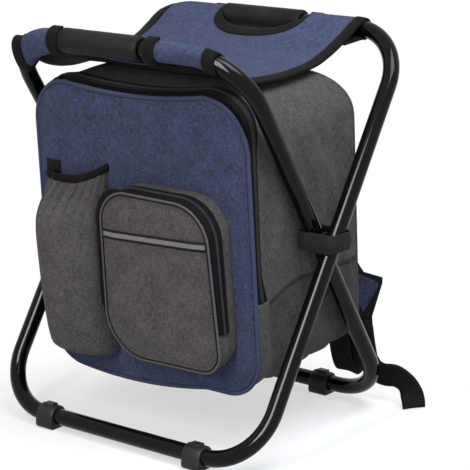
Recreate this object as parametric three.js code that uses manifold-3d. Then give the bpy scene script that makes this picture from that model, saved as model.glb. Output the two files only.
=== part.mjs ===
// Folding cooler stool: an X frame of two bent tube loops with a cloth seat,
// and an insulated bag that hangs between the legs from bands at the two pivots.
// Millimetres, +Z up, the front faces -Y. The origin is on the floor at the middle of the frame.
import * as THREE from "three";
import { mergeVertices } from "three/addons/utils/BufferGeometryUtils.js";
import Module from "manifold-3d";

// Clearances, and how far a cutting tool runs past what it cuts
const GAP = 0.3;
const SWEEP_GAP = 0.5;
const OVERSHOOT = 1;

// Frame
const TUBE_R = 8.5;
const TUBE_WALL = 1.2;
const TUBE_SIDES = 12;
const BEND_R = 60;
const BEND_STEPS = 7;
const TOP_BAR_Z = 406;
const BOTTOM_BAR_Z = 13;
const TOP_SPREAD = 125;
const BOTTOM_SPREAD = 130;
const BAG_LEG_ROOM = 4.5;
const LEG_PITCH = 20;
const TUBE_BUTT_GAP = 0.5;
const SPLICE_LENGTH = 70;

// Pivots
const RIVET_R = 3;
const RIVET_HOLE_PLAY = 0.5;
const RIVET_HEAD_R = 6;
const RIVET_HEAD_T = 2;
const RIVET_CHAMFER = 1;
const PIVOT_SIDES = 20;
const WASHER_R = 8;
const BAND_HEIGHT = 23;
const BAND_T = 1.6;
const BAND_SIDE_ROOM = 1.2;
const BAND_CORNER_R = 6;

// Feet and grips
const FOOT_LENGTH = 22;
const FOOT_DEPTH = 25;
const FOOT_RIM = 2.6;
const FOOT_PAD_H = 5.8;
const FRONT_FOOT_X = 97;
const REAR_FOOT_X = 66;
const GRIP_R = 12.5;
const FRONT_GRIP_FROM = -71;
const FRONT_GRIP_TO = 29;
const REAR_GRIP_FROM = -62;
const REAR_GRIP_TO = 40;

// Seat sling
const HEM_T = 1.5;
const HEM_SIDES = 16;
const HEM_BEND_STEPS = 5;
const FRONT_LEFT_HEM_INSET = 14;
const FRONT_LEFT_HEM_TO = -72;
const FRONT_RIGHT_HEM_FROM = 40;
const FRONT_RIGHT_HEM_INSET = 29;
const REAR_LEFT_HEM_INSET = 19;
const REAR_LEFT_HEM_TO = -64;
const REAR_RIGHT_HEM_FROM = 42;
const REAR_RIGHT_HEM_INSET = 50;
const SEAT_LEFT_INSET = 12;
const SEAT_RIGHT_INSET = 29;
const SEAT_T = 1.6;
const SEAT_STEPS = 14;
const SEAT_SWEEP_SIDES = 96;
const SEAT_LOW_Y = -25;
const SEAT_SAG = 31;
const SEAT_EDGE_DROP = 9;
const CUTOUT_DEPTH = 36;
const CUTOUT_R = 16;

// Bag, in its own frame whose origin is on the pivot line
const BAG_TILT = THREE.MathUtils.degToRad(4);
const BAG_HALF_W = 134;
const BAG_TOP = 160;
const BAG_BOTTOM = -140;
const BAG_FRONT = -84;
const BAG_BACK = 88;
const BAG_TOP_CORNER_R = 50;
const BAG_BOTTOM_CORNER_R = 35;
const BAG_BACK_TOP_R = 60;
const BAG_BACK_BOTTOM_R = 28;
const CLOTH_T = 1.2;
const FOAM_T = 6;
const LINER_T = 0.8;
const BOOT_TOP = -40;

// Front panel, the door of the cooler
const PANEL_OVERHANG = 0.5;
const PANEL_TOP = 152.5;
const PANEL_BOTTOM = -141.5;
const PANEL_TOP_R = 43;
const PANEL_BOTTOM_R = 37;
const PANEL_FOAM_T = 5;
const PIPING_R = 2.2;
const PIPING_SIDES = 8;
const ZIP_TAPE_T = 1;
const ZIP_HALF_W = 10;
const ZIP_END_Z = -54;

// Zip pocket on the front panel
const POCKET_SPACING = 7;
const POCKET_INSET = 21;
const POCKET_TOP = 58;
const POCKET_BOTTOM = -114;
const POCKET_DEPTH = 26;
const POCKET_TOP_R = 36;
const POCKET_BOTTOM_R = 30;
const POCKET_PIPING_R = 1.8;
const POCKET_ZIP_HALF_W = 5.5;
const POCKET_ZIP_END_Z = -80;
const STRIPE_Z = 20;
const STRIPE_H = 8;
const STRIPE_T = 0.8;

// Bottle pocket on the front panel
const BOTTLE_INSET = 56;
const BOTTLE_HALF_W = 44;
const BOTTLE_DEPTH = 46;
const BOTTLE_MOUTH_DEPTH = 41;
const BOTTLE_FOOT_DEPTH = 36;
const BOTTLE_TOP = 62;
const BOTTLE_BOTTOM = -120;
const BOTTLE_WALL = 1.6;
const BOTTLE_STEPS = 12;
const ELASTIC_R = 3;
const TAB_W = 20;
const TAB_H = 14;
const TAB_T = 1.5;
const TAB_INSET = 33;

// Zip sliders and pulls
const SLIDER_W = 9;
const SLIDER_H = 14;
const SLIDER_T = 3;
const PULL_W = 6;
const PULL_L = 22;
const PULL_T = 1.4;
const POCKET_SLIDER_W = 7;
const POCKET_SLIDER_H = 10;
const POCKET_SLIDER_T = 2.4;
const POCKET_PULL_W = 5;
const POCKET_PULL_L = 16;
const POCKET_PULL_T = 1.2;

// Shoulder straps
const PAD_W = 46;
const PAD_T = 11;
const PAD_BEVEL = 3.5;
const WEBBING_W = 25;
const WEBBING_T = 1.6;
const FLOOR_LIFT = 0.5;
const BUCKLE_H = 20;
const BUCKLE_T = 4;
const BUCKLE_RAIL = 4;
const BUCKLE_CORNER_R = 3;
const BUCKLE_SLOT_R = 1;
const STRAP_TOP_INSET = 72;
const STRAP_TOP_Z = 99;
const STRAP_SEWN = 20;
const ANCHOR_INSET = 30;
const ANCHOR_Z = -106;
const TAIL_PAST_LEG = 9;

// Values worked out from the sizes above
const LEAN = Math.atan2(TOP_SPREAD + BOTTOM_SPREAD, TOP_BAR_Z - BOTTOM_BAR_Z);
const PIVOT_Z = BOTTOM_BAR_Z + BOTTOM_SPREAD / Math.tan(LEAN);
const TOP_REACH = TOP_SPREAD / Math.sin(LEAN);
const BOTTOM_REACH = BOTTOM_SPREAD / Math.sin(LEAN);
const INNER_LEG_X = BAG_HALF_W + BAG_LEG_ROOM + TUBE_R;
const OUTER_LEG_X = INNER_LEG_X + LEG_PITCH;
const SLEEVE_IN_R = (TUBE_R + GAP) / Math.cos(Math.PI / HEM_SIDES);
const HEM_R = SLEEVE_IN_R + HEM_T;
const FRONT_LEFT_HEM = [FRONT_LEFT_HEM_INSET - INNER_LEG_X, FRONT_LEFT_HEM_TO];
const FRONT_RIGHT_HEM = [FRONT_RIGHT_HEM_FROM, INNER_LEG_X - FRONT_RIGHT_HEM_INSET];
const REAR_LEFT_HEM = [REAR_LEFT_HEM_INSET - OUTER_LEG_X, REAR_LEFT_HEM_TO];
const REAR_RIGHT_HEM = [REAR_RIGHT_HEM_FROM, OUTER_LEG_X - REAR_RIGHT_HEM_INSET];
const SEAT_LEFT = SEAT_LEFT_INSET - INNER_LEG_X;
const SEAT_RIGHT = INNER_LEG_X - SEAT_RIGHT_INSET;
const PANEL_HALF_W = BAG_HALF_W + PANEL_OVERHANG;
const PANEL_BACK = BAG_FRONT - GAP;
const PANEL_LINER_FRONT = PANEL_BACK - LINER_T;
const PANEL_FOAM_FRONT = PANEL_LINER_FRONT - GAP - PANEL_FOAM_T;
const PANEL_CLOTH_FRONT = PANEL_FOAM_FRONT - GAP - CLOTH_T;
const PIPING_Y = PANEL_CLOTH_FRONT + PIPING_R;
const ZIP_SPLIT_Y = PIPING_Y + PIPING_R + GAP + ZIP_HALF_W;
const BOTTLE_X = BOTTLE_INSET - BAG_HALF_W;
const TAB_RIGHT = TAB_INSET - BAG_HALF_W;
const POCKET_LEFT = BOTTLE_X + BOTTLE_HALF_W + POCKET_SPACING;
const POCKET_RIGHT = BAG_HALF_W - POCKET_INSET;
const POCKET_SEAT_Y = PANEL_CLOTH_FRONT - GAP;
const POCKET_RIM_Y = POCKET_SEAT_Y - POCKET_DEPTH;
const POCKET_FACE_Y = POCKET_RIM_Y - GAP - CLOTH_T;

const BLUE = { color: 0x3a4768, roughness: 0.9, metalness: 0 };
const GREY = { color: 0x55514f, roughness: 0.9, metalness: 0 };
const BLACK_CLOTH = { color: 0x17171a, roughness: 0.85, metalness: 0 };
const BLACK_FOAM = { color: 0x1d1d1f, roughness: 0.95, metalness: 0 };
const BLACK_GLOSS = { color: 0x0b0b0c, roughness: 0.25, metalness: 0.2 };
const BLACK_PLASTIC = { color: 0x141415, roughness: 0.5, metalness: 0 };
const STEEL = { color: 0x9a9a9c, roughness: 0.35, metalness: 1 };
const ZIP_METAL = { color: 0x6f7072, roughness: 0.4, metalness: 1 };
const FOIL = { color: 0xc9cbcd, roughness: 0.35, metalness: 0.6 };
const WHITE_FOAM = { color: 0xe6e6e2, roughness: 0.9, metalness: 0 };
const PALE_TAPE = { color: 0x8d8b89, roughness: 0.6, metalness: 0 };

const wasm = await Module();
wasm.setup();

// Solids for joins and cuts

function signedVolume(position, index) {
  const a = new THREE.Vector3();
  const b = new THREE.Vector3();
  const c = new THREE.Vector3();
  let volume = 0;
  for (let i = 0; i < index.length; i += 3) {
    a.fromBufferAttribute(position, index[i]);
    b.fromBufferAttribute(position, index[i + 1]);
    c.fromBufferAttribute(position, index[i + 2]);
    volume += a.dot(b.cross(c)) / 6;
  }
  return volume;
}

// A closed geometry with shared corners and its faces pointing out
function closed(geometry) {
  const bare = new THREE.BufferGeometry();
  bare.setAttribute("position", geometry.getAttribute("position"));
  bare.setIndex(geometry.getIndex());
  const merged = mergeVertices(bare, 1e-3);
  const index = [];
  const source = merged.getIndex().array;
  for (let i = 0; i < source.length; i += 3) {
    const [a, b, c] = [source[i], source[i + 1], source[i + 2]];
    if (a !== b && b !== c && c !== a) {
      index.push(a, b, c);
    }
  }
  if (signedVolume(merged.getAttribute("position"), index) < 0) {
    index.reverse();
  }
  merged.setIndex(index);
  return merged;
}

function toSolid(geometry) {
  const shape = closed(geometry);
  return new wasm.Manifold(new wasm.Mesh({
    numProp: 3,
    vertProperties: new Float32Array(shape.getAttribute("position").array),
    triVerts: new Uint32Array(shape.getIndex().array),
  }));
}

function toGeometry(solid) {
  const mesh = solid.getMesh();
  const geometry = new THREE.BufferGeometry();
  geometry.setAttribute("position", new THREE.Float32BufferAttribute(mesh.vertProperties, 3));
  geometry.setIndex(Array.from(mesh.triVerts));
  return geometry;
}

function cut(geometry, ...tools) {
  const solid = tools.reduce((left, tool) => left.subtract(toSolid(tool)), toSolid(geometry));
  return toGeometry(solid);
}

function common(geometry, ...others) {
  const solid = others.reduce((left, other) => left.intersect(toSolid(other)), toSolid(geometry));
  return toGeometry(solid);
}

function join(geometry, ...others) {
  const solid = others.reduce((left, other) => left.add(toSolid(other)), toSolid(geometry));
  return toGeometry(solid);
}

// Basic shapes

function block([x0, x1], [y0, y1], [z0, z1]) {
  const geometry = new THREE.BoxGeometry(x1 - x0, y1 - y0, z1 - z0);
  return geometry.translate((x0 + x1) / 2, (y0 + y1) / 2, (z0 + z1) / 2);
}

// A rectangle with its own radius at the top corners and at the bottom corners
function roundedRect(left, right, bottom, top, topR, bottomR) {
  const shape = new THREE.Shape();
  shape.moveTo(left + bottomR, bottom);
  shape.lineTo(right - bottomR, bottom);
  shape.absarc(right - bottomR, bottom + bottomR, bottomR, -Math.PI / 2, 0, false);
  shape.absarc(right - topR, top - topR, topR, 0, Math.PI / 2, false);
  shape.absarc(left + topR, top - topR, topR, Math.PI / 2, Math.PI, false);
  shape.absarc(left + bottomR, bottom + bottomR, bottomR, Math.PI, 1.5 * Math.PI, false);
  return shape;
}

function circle(radius) {
  return new THREE.Shape().absarc(0, 0, radius, 0, 2 * Math.PI, false);
}

const FLAT = { bevelEnabled: false, curveSegments: 3 };

// An outline in X and Z, made thick from one Y to another
function frontPlate(shape, y0, y1) {
  const geometry = new THREE.ExtrudeGeometry(shape, { ...FLAT, depth: y1 - y0 });
  return geometry.rotateX(Math.PI / 2).translate(0, y1, 0);
}

// An outline in Y and Z, made thick from one X to another
function sidePlate(shape, x0, x1, curveSegments = FLAT.curveSegments) {
  const geometry = new THREE.ExtrudeGeometry(shape, { ...FLAT, curveSegments, depth: x1 - x0 });
  const turn = new THREE.Matrix4().makeBasis(
    new THREE.Vector3(0, 1, 0), new THREE.Vector3(0, 0, 1), new THREE.Vector3(1, 0, 0));
  return geometry.applyMatrix4(turn).translate(x0, 0, 0);
}

// A path through stations, one step per station
class StationPath extends THREE.Curve {
  constructor(stations) {
    super();
    this.stations = stations;
  }

  getPoint(t, target = new THREE.Vector3()) {
    const last = this.stations.length - 1;
    const place = Math.min(Math.max(t, 0), 1) * last;
    const before = Math.min(Math.floor(place), last - 1);
    return target.lerpVectors(this.stations[before], this.stations[before + 1], place - before);
  }

  getUtoTmapping(u) {
    return u;
  }
}

function sweep(stations, radius, innerRadius, sides) {
  const shape = circle(radius);
  if (innerRadius > 0) {
    shape.holes.push(new THREE.Path().absarc(0, 0, innerRadius, 0, 2 * Math.PI, true));
  }
  return new THREE.ExtrudeGeometry(shape, {
    bevelEnabled: false,
    curveSegments: sides / 2,
    steps: stations.length - 1,
    extrudePath: new StationPath(stations),
  });
}

// A flat band through stations, each with its centre and the direction of its width. Both faces
// are split along the same diagonals, so the band keeps its thickness where it twists
function ribbon(stations, width, thickness, bevel) {
  const w = width / 2;
  const t = thickness / 2;
  const section = bevel > 0
    ? [[-w, -t + bevel], [-w + bevel, -t], [w - bevel, -t], [w, -t + bevel],
      [w, t - bevel], [w - bevel, t], [-w + bevel, t], [-w, t - bevel]]
    : [[-w, -t], [w, -t], [w, t], [-w, t]];
  const count = section.length;
  const positions = [];
  const index = [];
  stations.forEach(([centre, wide], i) => {
    const ahead = stations[Math.min(i + 1, stations.length - 1)][0];
    const behind = stations[Math.max(i - 1, 0)][0];
    const along = ahead.clone().sub(behind).normalize();
    const across = wide.clone().addScaledVector(along, -wide.dot(along)).normalize();
    const normal = along.clone().cross(across);
    section.forEach(([u, v]) => {
      const point = centre.clone().addScaledVector(across, u).addScaledVector(normal, v);
      positions.push(point.x, point.y, point.z);
    });
  });
  for (let i = 0; i + 1 < stations.length; i++) {
    for (let k = 0; k < count; k++) {
      const a = i * count + k;
      const b = i * count + (k + 1) % count;
      if (k < count / 2) {
        index.push(a, b, a + count, b, b + count, a + count);
      } else {
        index.push(a, b, b + count, a, b + count, a + count);
      }
    }
  }
  const end = (stations.length - 1) * count;
  for (let k = 1; k + 1 < count; k++) {
    index.push(0, k + 1, k);
    index.push(end, end + k, end + k + 1);
  }
  const geometry = new THREE.BufferGeometry();
  geometry.setAttribute("position", new THREE.Float32BufferAttribute(positions, 3));
  geometry.setIndex(index);
  return geometry;
}

const stool = new THREE.Group();
const bag = new THREE.Group();
bag.position.set(0, 0, PIVOT_Z);
bag.rotation.x = BAG_TILT;
stool.add(bag);

function add(parent, name, geometry, finish) {
  const mesh = new THREE.Mesh(closed(geometry), new THREE.MeshStandardMaterial(finish));
  mesh.name = name;
  parent.add(mesh);
}

// Frame loops: a loop lies in a leaning plane through the pivot line

// A point of a loop, from its X and its distance above the pivot along the legs
function onLoop(x, reach, rear) {
  return new THREE.Vector3(x, rear * reach * Math.sin(LEAN), PIVOT_Z + reach * Math.cos(LEAN));
}

// Quarter bend from a bar into a leg, as pairs of X and reach
function bend(legX, barReach, from, to) {
  const up = Math.sign(barReach);
  const side = Math.sign(legX);
  const points = [];
  for (let i = 0; i <= BEND_STEPS; i++) {
    const angle = from + (to - from) * i / BEND_STEPS;
    points.push([legX - side * BEND_R * (1 - Math.sin(angle)),
      barReach - up * BEND_R * (1 - Math.cos(angle))]);
  }
  return points;
}

const QUARTER = Math.PI / 2;

function loopStations(legX, rear) {
  const half = TUBE_BUTT_GAP / 2;
  return [
    [half, TOP_REACH],
    ...bend(legX, TOP_REACH, 0, QUARTER),
    [legX, 0],
    ...bend(legX, -BOTTOM_REACH, QUARTER, 0),
    [0, -BOTTOM_REACH],
    ...bend(-legX, -BOTTOM_REACH, 0, QUARTER),
    [-legX, 0],
    ...bend(-legX, TOP_REACH, QUARTER, 0),
    [-half, TOP_REACH],
  ].map(([x, reach]) => onLoop(x, reach, rear));
}

// The part of a top bar between two places, round its bends where they reach there
function topBarStations(legX, rear, from, to) {
  const straight = legX - BEND_R;
  const reachAt = (x) => {
    const past = Math.max(0, Math.abs(x) - straight);
    return TOP_REACH - BEND_R + Math.sqrt(BEND_R ** 2 - past ** 2);
  };
  const marks = [from, to];
  for (const edge of [-straight, straight]) {
    if (from < edge && edge < to) {
      marks.push(edge);
    }
  }
  marks.sort((a, b) => a - b);
  const stations = [marks[0]];
  for (let i = 0; i + 1 < marks.length; i++) {
    const curved = Math.abs(marks[i] + marks[i + 1]) / 2 > straight;
    const steps = curved ? HEM_BEND_STEPS : 1;
    for (let k = 1; k <= steps; k++) {
      stations.push(marks[i] + (marks[i + 1] - marks[i]) * k / steps);
    }
  }
  return stations.map((x) => onLoop(x, reachAt(x), rear));
}

function alongX(geometry, x) {
  return geometry.rotateZ(-Math.PI / 2).translate(x, 0, PIVOT_Z);
}

function pin(radius, x0, x1) {
  return alongX(new THREE.CylinderGeometry(radius, radius, x1 - x0, PIVOT_SIDES), (x0 + x1) / 2);
}

function addLoop(name, legX, rear) {
  const tube = sweep(loopStations(legX, rear), TUBE_R, TUBE_R - TUBE_WALL, TUBE_SIDES);
  const reach = legX + TUBE_R + OVERSHOOT;
  const drilled = cut(tube, pin(RIVET_R + RIVET_HOLE_PLAY, -reach, reach));
  add(stool, `${name}_frame_tube`, drilled, BLACK_GLOSS);
  const spliceR = (TUBE_R - TUBE_WALL) * Math.cos(Math.PI / TUBE_SIDES) - GAP;
  const ends = [-SPLICE_LENGTH / 2, SPLICE_LENGTH / 2].map((x) => onLoop(x, TOP_REACH, rear));
  add(stool, `${name}_tube_splice`, sweep(ends, spliceR, 0, TUBE_SIDES), STEEL);
}

addLoop("outer", OUTER_LEG_X, 1);
addLoop("inner", INNER_LEG_X, -1);

// Pivot rivets with heads at both ends, and the washers that keep the tubes apart
function addPivot(side, sign) {
  const headIn = INNER_LEG_X - TUBE_R - GAP;
  const headOut = OUTER_LEG_X + TUBE_R + GAP;
  const profile = [
    [0, headIn - RIVET_HEAD_T],
    [RIVET_HEAD_R - RIVET_CHAMFER, headIn - RIVET_HEAD_T],
    [RIVET_HEAD_R, headIn - RIVET_HEAD_T + RIVET_CHAMFER],
    [RIVET_HEAD_R, headIn],
    [RIVET_R, headIn],
    [RIVET_R, headOut],
    [RIVET_HEAD_R, headOut],
    [RIVET_HEAD_R, headOut + RIVET_HEAD_T - RIVET_CHAMFER],
    [RIVET_HEAD_R - RIVET_CHAMFER, headOut + RIVET_HEAD_T],
    [0, headOut + RIVET_HEAD_T],
  ].map(([r, x]) => new THREE.Vector2(r, sign * x));
  add(stool, `pivot_rivet_${side}`, alongX(new THREE.LatheGeometry(profile, PIVOT_SIDES), 0), STEEL);
  const from = INNER_LEG_X + TUBE_R + GAP;
  const to = OUTER_LEG_X - TUBE_R - GAP;
  const hole = RIVET_R + GAP;
  const ring = [[hole, from], [WASHER_R, from], [WASHER_R, to], [hole, to], [hole, from]]
    .map(([r, x]) => new THREE.Vector2(r, sign * x));
  const washer = alongX(new THREE.LatheGeometry(ring, PIVOT_SIDES), 0);
  add(stool, `pivot_washer_${side}`, washer, BLACK_PLASTIC);
}

addPivot("left", -1);
addPivot("right", 1);

// Clip feet: a ring round the bottom bar over a flat pad
function addFoot(name, x, y) {
  const ringR = SLEEVE_IN_R + FOOT_RIM;
  const half = FOOT_DEPTH / 2;
  const shape = new THREE.Shape();
  shape.moveTo(-half, 0);
  shape.lineTo(half, 0);
  shape.lineTo(half, FOOT_PAD_H);
  shape.absarc(0, BOTTOM_BAR_Z, ringR, 0, Math.PI, false);
  shape.lineTo(-half, FOOT_PAD_H);
  shape.holes.push(new THREE.Path().absarc(0, BOTTOM_BAR_Z, SLEEVE_IN_R, 0, 2 * Math.PI, true));
  const halfLength = FOOT_LENGTH / 2;
  const geometry = sidePlate(shape, x - halfLength, x + halfLength, HEM_SIDES / 2);
  add(stool, name, geometry.translate(0, y, 0), BLACK_PLASTIC);
}

addFoot("front_foot_left", -FRONT_FOOT_X, -BOTTOM_SPREAD);
addFoot("front_foot_right", FRONT_FOOT_X, -BOTTOM_SPREAD);
addFoot("rear_foot_left", -REAR_FOOT_X, BOTTOM_SPREAD);
addFoot("rear_foot_right", REAR_FOOT_X, BOTTOM_SPREAD);

// Foam grips and cloth hems on the top bars
function addSleeve(name, legX, rear, [from, to], radius, finish) {
  const stations = topBarStations(legX, rear, from, to);
  add(stool, name, sweep(stations, radius, SLEEVE_IN_R, HEM_SIDES), finish);
}

addSleeve("front_grip", INNER_LEG_X, -1, [FRONT_GRIP_FROM, FRONT_GRIP_TO], GRIP_R, BLACK_FOAM);
addSleeve("rear_grip", OUTER_LEG_X, 1, [REAR_GRIP_FROM, REAR_GRIP_TO], GRIP_R, BLACK_FOAM);
addSleeve("front_hem_left", INNER_LEG_X, -1, FRONT_LEFT_HEM, HEM_R, BLUE);
addSleeve("front_hem_right", INNER_LEG_X, -1, FRONT_RIGHT_HEM, HEM_R, BLUE);
addSleeve("rear_hem_left", OUTER_LEG_X, 1, REAR_LEFT_HEM, HEM_R, BLUE);
addSleeve("rear_hem_right", OUTER_LEG_X, 1, REAR_RIGHT_HEM, HEM_R, BLUE);

// Seat sling: a sagging strip, with a cut-out at each grip and room for the bars as they fold

function seatZ(y) {
  const edge = y < SEAT_LOW_Y ? -TOP_SPREAD : TOP_SPREAD;
  const share = (y - SEAT_LOW_Y) / (edge - SEAT_LOW_Y);
  return TOP_BAR_Z - SEAT_SAG + (SEAT_SAG - SEAT_EDGE_DROP) * share * share;
}

function seatStrip() {
  const shape = new THREE.Shape();
  const ys = Array.from({ length: SEAT_STEPS + 1 }, (_, i) => TOP_SPREAD * (2 * i / SEAT_STEPS - 1));
  shape.setFromPoints([
    ...ys.map((y) => new THREE.Vector2(y, seatZ(y) - SEAT_T)),
    ...ys.reverse().map((y) => new THREE.Vector2(y, seatZ(y))),
  ]);
  return sidePlate(shape, SEAT_LEFT, SEAT_RIGHT);
}

// Everything that a loop's bar, bends and legs pass through as it turns on the pivot, on one side
function sweptByLoop(legX, rear) {
  const room = HEM_R + SWEEP_GAP;
  const inside = legX - room;
  const far = legX + BEND_R;
  const arc = (side, from, to) => {
    const bendR = BEND_R - room;
    return Array.from({ length: BEND_STEPS + 1 }, (_, i) => {
      const angle = from + (to - from) * i / BEND_STEPS;
      return [TOP_REACH - BEND_R + bendR * Math.cos(angle),
        side * (legX - BEND_R + bendR * Math.sin(angle))];
    });
  };
  const core = TOP_REACH - 2 * BEND_R;
  const profile = [
    [core, -far], [core, -inside],
    ...arc(-1, QUARTER, 0), ...arc(1, 0, QUARTER),
    [core, inside], [core, far], [TOP_REACH + BEND_R, far], [TOP_REACH + BEND_R, -far], [core, -far],
  ].map(([r, x]) => new THREE.Vector2(r, x));
  const ring = alongX(new THREE.LatheGeometry(profile, SEAT_SWEEP_SIDES), 0);
  const reach = TOP_REACH + 2 * BEND_R;
  const half = block([-reach, reach], rear > 0 ? [0, reach] : [-reach, 0], [0, PIVOT_Z + reach]);
  return common(ring, half);
}

function cutout(from, to, rear) {
  const depth = 2 * CUTOUT_DEPTH;
  const shape = roundedRect(from, to, -depth / 2, depth / 2, CUTOUT_R, CUTOUT_R);
  const geometry = new THREE.ExtrudeGeometry(shape, { ...FLAT, depth: TOP_BAR_Z });
  return geometry.translate(0, rear * TOP_SPREAD, TOP_BAR_Z / 2);
}

add(stool, "seat_sling", cut(
  seatStrip(),
  cutout(FRONT_LEFT_HEM[1], FRONT_RIGHT_HEM[0], -1),
  cutout(REAR_LEFT_HEM[1], REAR_RIGHT_HEM[0], 1),
  sweptByLoop(INNER_LEG_X, -1),
  sweptByLoop(OUTER_LEG_X, 1),
), BLUE);

// Bag shell: what the front outline and the side outline have in common, drawn in by an offset

function bagOutline(inset) {
  return roundedRect(-BAG_HALF_W + inset, BAG_HALF_W - inset, BAG_BOTTOM + inset, BAG_TOP - inset,
    BAG_TOP_CORNER_R - inset, BAG_BOTTOM_CORNER_R - inset);
}

function bagForm(inset, front) {
  const back = BAG_BACK - inset;
  const top = BAG_TOP - inset;
  const bottom = BAG_BOTTOM + inset;
  const topR = BAG_BACK_TOP_R - inset;
  const bottomR = BAG_BACK_BOTTOM_R - inset;
  const side = new THREE.Shape();
  side.moveTo(front, bottom);
  side.lineTo(back - bottomR, bottom);
  side.absarc(back - bottomR, bottom + bottomR, bottomR, -QUARTER, 0, false);
  side.absarc(back - topR, top - topR, topR, 0, QUARTER, false);
  side.lineTo(front, top);
  const plan = frontPlate(bagOutline(inset), front - OVERSHOOT, back + OVERSHOOT);
  return common(plan, sidePlate(side, -BAG_HALF_W, BAG_HALF_W));
}

// A layer of the bag's wall, open at the front
function bagLayer(inset, thickness) {
  return cut(bagForm(inset, BAG_FRONT), bagForm(inset + thickness, BAG_FRONT - OVERSHOOT));
}

const FOAM_INSET = CLOTH_T + GAP;
const LINER_INSET = FOAM_INSET + FOAM_T + GAP;
const WIDE = 2 * BAG_HALF_W;

function addBagCloth() {
  const cloth = bagLayer(0, CLOTH_T);
  const backFrom = BAG_BACK - CLOTH_T;
  const low = [2 * BAG_BOTTOM, BOOT_TOP - GAP];
  const high = [BOOT_TOP, 2 * BAG_TOP];
  const ahead = [2 * BAG_FRONT, backFrom - GAP];
  add(bag, "bag_gusset", common(cloth, block([-WIDE, WIDE], ahead, high)), GREY);
  add(bag, "bag_boot", common(cloth, block([-WIDE, WIDE], ahead, low)), GREY);
  const behind = block([-WIDE, WIDE], [backFrom, 2 * BAG_BACK], [2 * BAG_BOTTOM, 2 * BAG_TOP]);
  add(bag, "bag_back_panel", common(cloth, behind), GREY);
}

function addInsulation() {
  const foam = bagLayer(FOAM_INSET, FOAM_T);
  const topFrom = BAG_TOP - Math.max(BAG_TOP_CORNER_R, BAG_BACK_TOP_R);
  const baseTo = BAG_BOTTOM + Math.max(BAG_BOTTOM_CORNER_R, BAG_BACK_BOTTOM_R);
  const backFrom = BAG_BACK - FOAM_INSET - FOAM_T;
  const every = [-WIDE, WIDE];
  const ahead = [2 * BAG_FRONT, backFrom - GAP];
  const middle = [baseTo + GAP, topFrom - GAP];
  const lid = block(every, [2 * BAG_FRONT, 2 * BAG_BACK], [topFrom, WIDE]);
  add(bag, "insulation_top", common(foam, lid), WHITE_FOAM);
  add(bag, "insulation_base", common(foam, block(every, ahead, [-WIDE, baseTo])), WHITE_FOAM);
  add(bag, "insulation_left", common(foam, block([-WIDE, 0], ahead, middle)), WHITE_FOAM);
  add(bag, "insulation_right", common(foam, block([0, WIDE], ahead, middle)), WHITE_FOAM);
  const behind = [backFrom, 2 * BAG_BACK];
  add(bag, "insulation_back", common(foam, block(every, behind, [-WIDE, topFrom - GAP])), WHITE_FOAM);
}

addBagCloth();
addInsulation();
add(bag, "foil_liner", bagLayer(LINER_INSET, LINER_T), FOIL);

// A strip round the outside of an outline, from one Y to another, above its lower ends
function outlineStrip(outline, inner, outer, y0, y1, endZ) {
  const ring = outline(-outer);
  ring.holes.push(new THREE.Path(outline(-inner).getPoints(FLAT.curveSegments)));
  const above = block([-WIDE, WIDE], [y0 - OVERSHOOT, y1 + OVERSHOOT], [endZ, WIDE]);
  return common(frontPlate(ring, y0, y1), above);
}

// Piping round an outline, with its ends meeting at the middle of the bottom edge
function piping(left, right, bottom, top, topR, bottomR, y, radius) {
  const middle = (left + right) / 2;
  const corner = (x, z, r, from) => Array.from({ length: BEND_STEPS }, (_, i) => {
    const angle = from + QUARTER * i / (BEND_STEPS - 1);
    return [x + r * Math.cos(angle), z + r * Math.sin(angle)];
  });
  const points = [
    [middle + GAP, bottom],
    ...corner(right - bottomR, bottom + bottomR, bottomR, -QUARTER),
    ...corner(right - topR, top - topR, topR, 0),
    ...corner(left + topR, top - topR, topR, QUARTER),
    ...corner(left + bottomR, bottom + bottomR, bottomR, 2 * QUARTER),
    [middle - GAP, bottom],
  ];
  return sweep(points.map(([x, z]) => new THREE.Vector3(x, y, z)), radius, 0, PIPING_SIDES);
}

// Front panel: cloth, foam and liner, with piping round its edge and the halves of the main zip tape

function panelOutline(inset) {
  return roundedRect(-PANEL_HALF_W + inset, PANEL_HALF_W - inset, PANEL_BOTTOM + inset, PANEL_TOP - inset,
    PANEL_TOP_R - inset, PANEL_BOTTOM_R - inset);
}

add(bag, "front_panel",
  frontPlate(panelOutline(0), PANEL_CLOTH_FRONT, PANEL_CLOTH_FRONT + CLOTH_T), BLUE);
add(bag, "insulation_front",
  frontPlate(panelOutline(GAP), PANEL_FOAM_FRONT, PANEL_FOAM_FRONT + PANEL_FOAM_T), WHITE_FOAM);
add(bag, "front_liner", frontPlate(panelOutline(GAP), PANEL_LINER_FRONT, PANEL_BACK), FOIL);
const PIPING_OFFSET = PIPING_R + GAP;
add(bag, "front_piping", piping(
  -PANEL_HALF_W - PIPING_OFFSET, PANEL_HALF_W + PIPING_OFFSET,
  PANEL_BOTTOM - PIPING_OFFSET, PANEL_TOP + PIPING_OFFSET,
  PANEL_TOP_R + PIPING_OFFSET, PANEL_BOTTOM_R + PIPING_OFFSET, PIPING_Y, PIPING_R), BLUE);

const TAPE_IN = GAP;
const TAPE_OUT = GAP + ZIP_TAPE_T;
add(bag, "main_zip_tape_flap", outlineStrip(
  bagOutline, TAPE_IN, TAPE_OUT, ZIP_SPLIT_Y - ZIP_HALF_W, ZIP_SPLIT_Y - GAP / 2, ZIP_END_Z), BLACK_CLOTH);
add(bag, "main_zip_tape_bag", outlineStrip(
  bagOutline, TAPE_IN, TAPE_OUT, ZIP_SPLIT_Y + GAP / 2, ZIP_SPLIT_Y + ZIP_HALF_W, ZIP_END_Z), BLACK_CLOTH);

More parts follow.
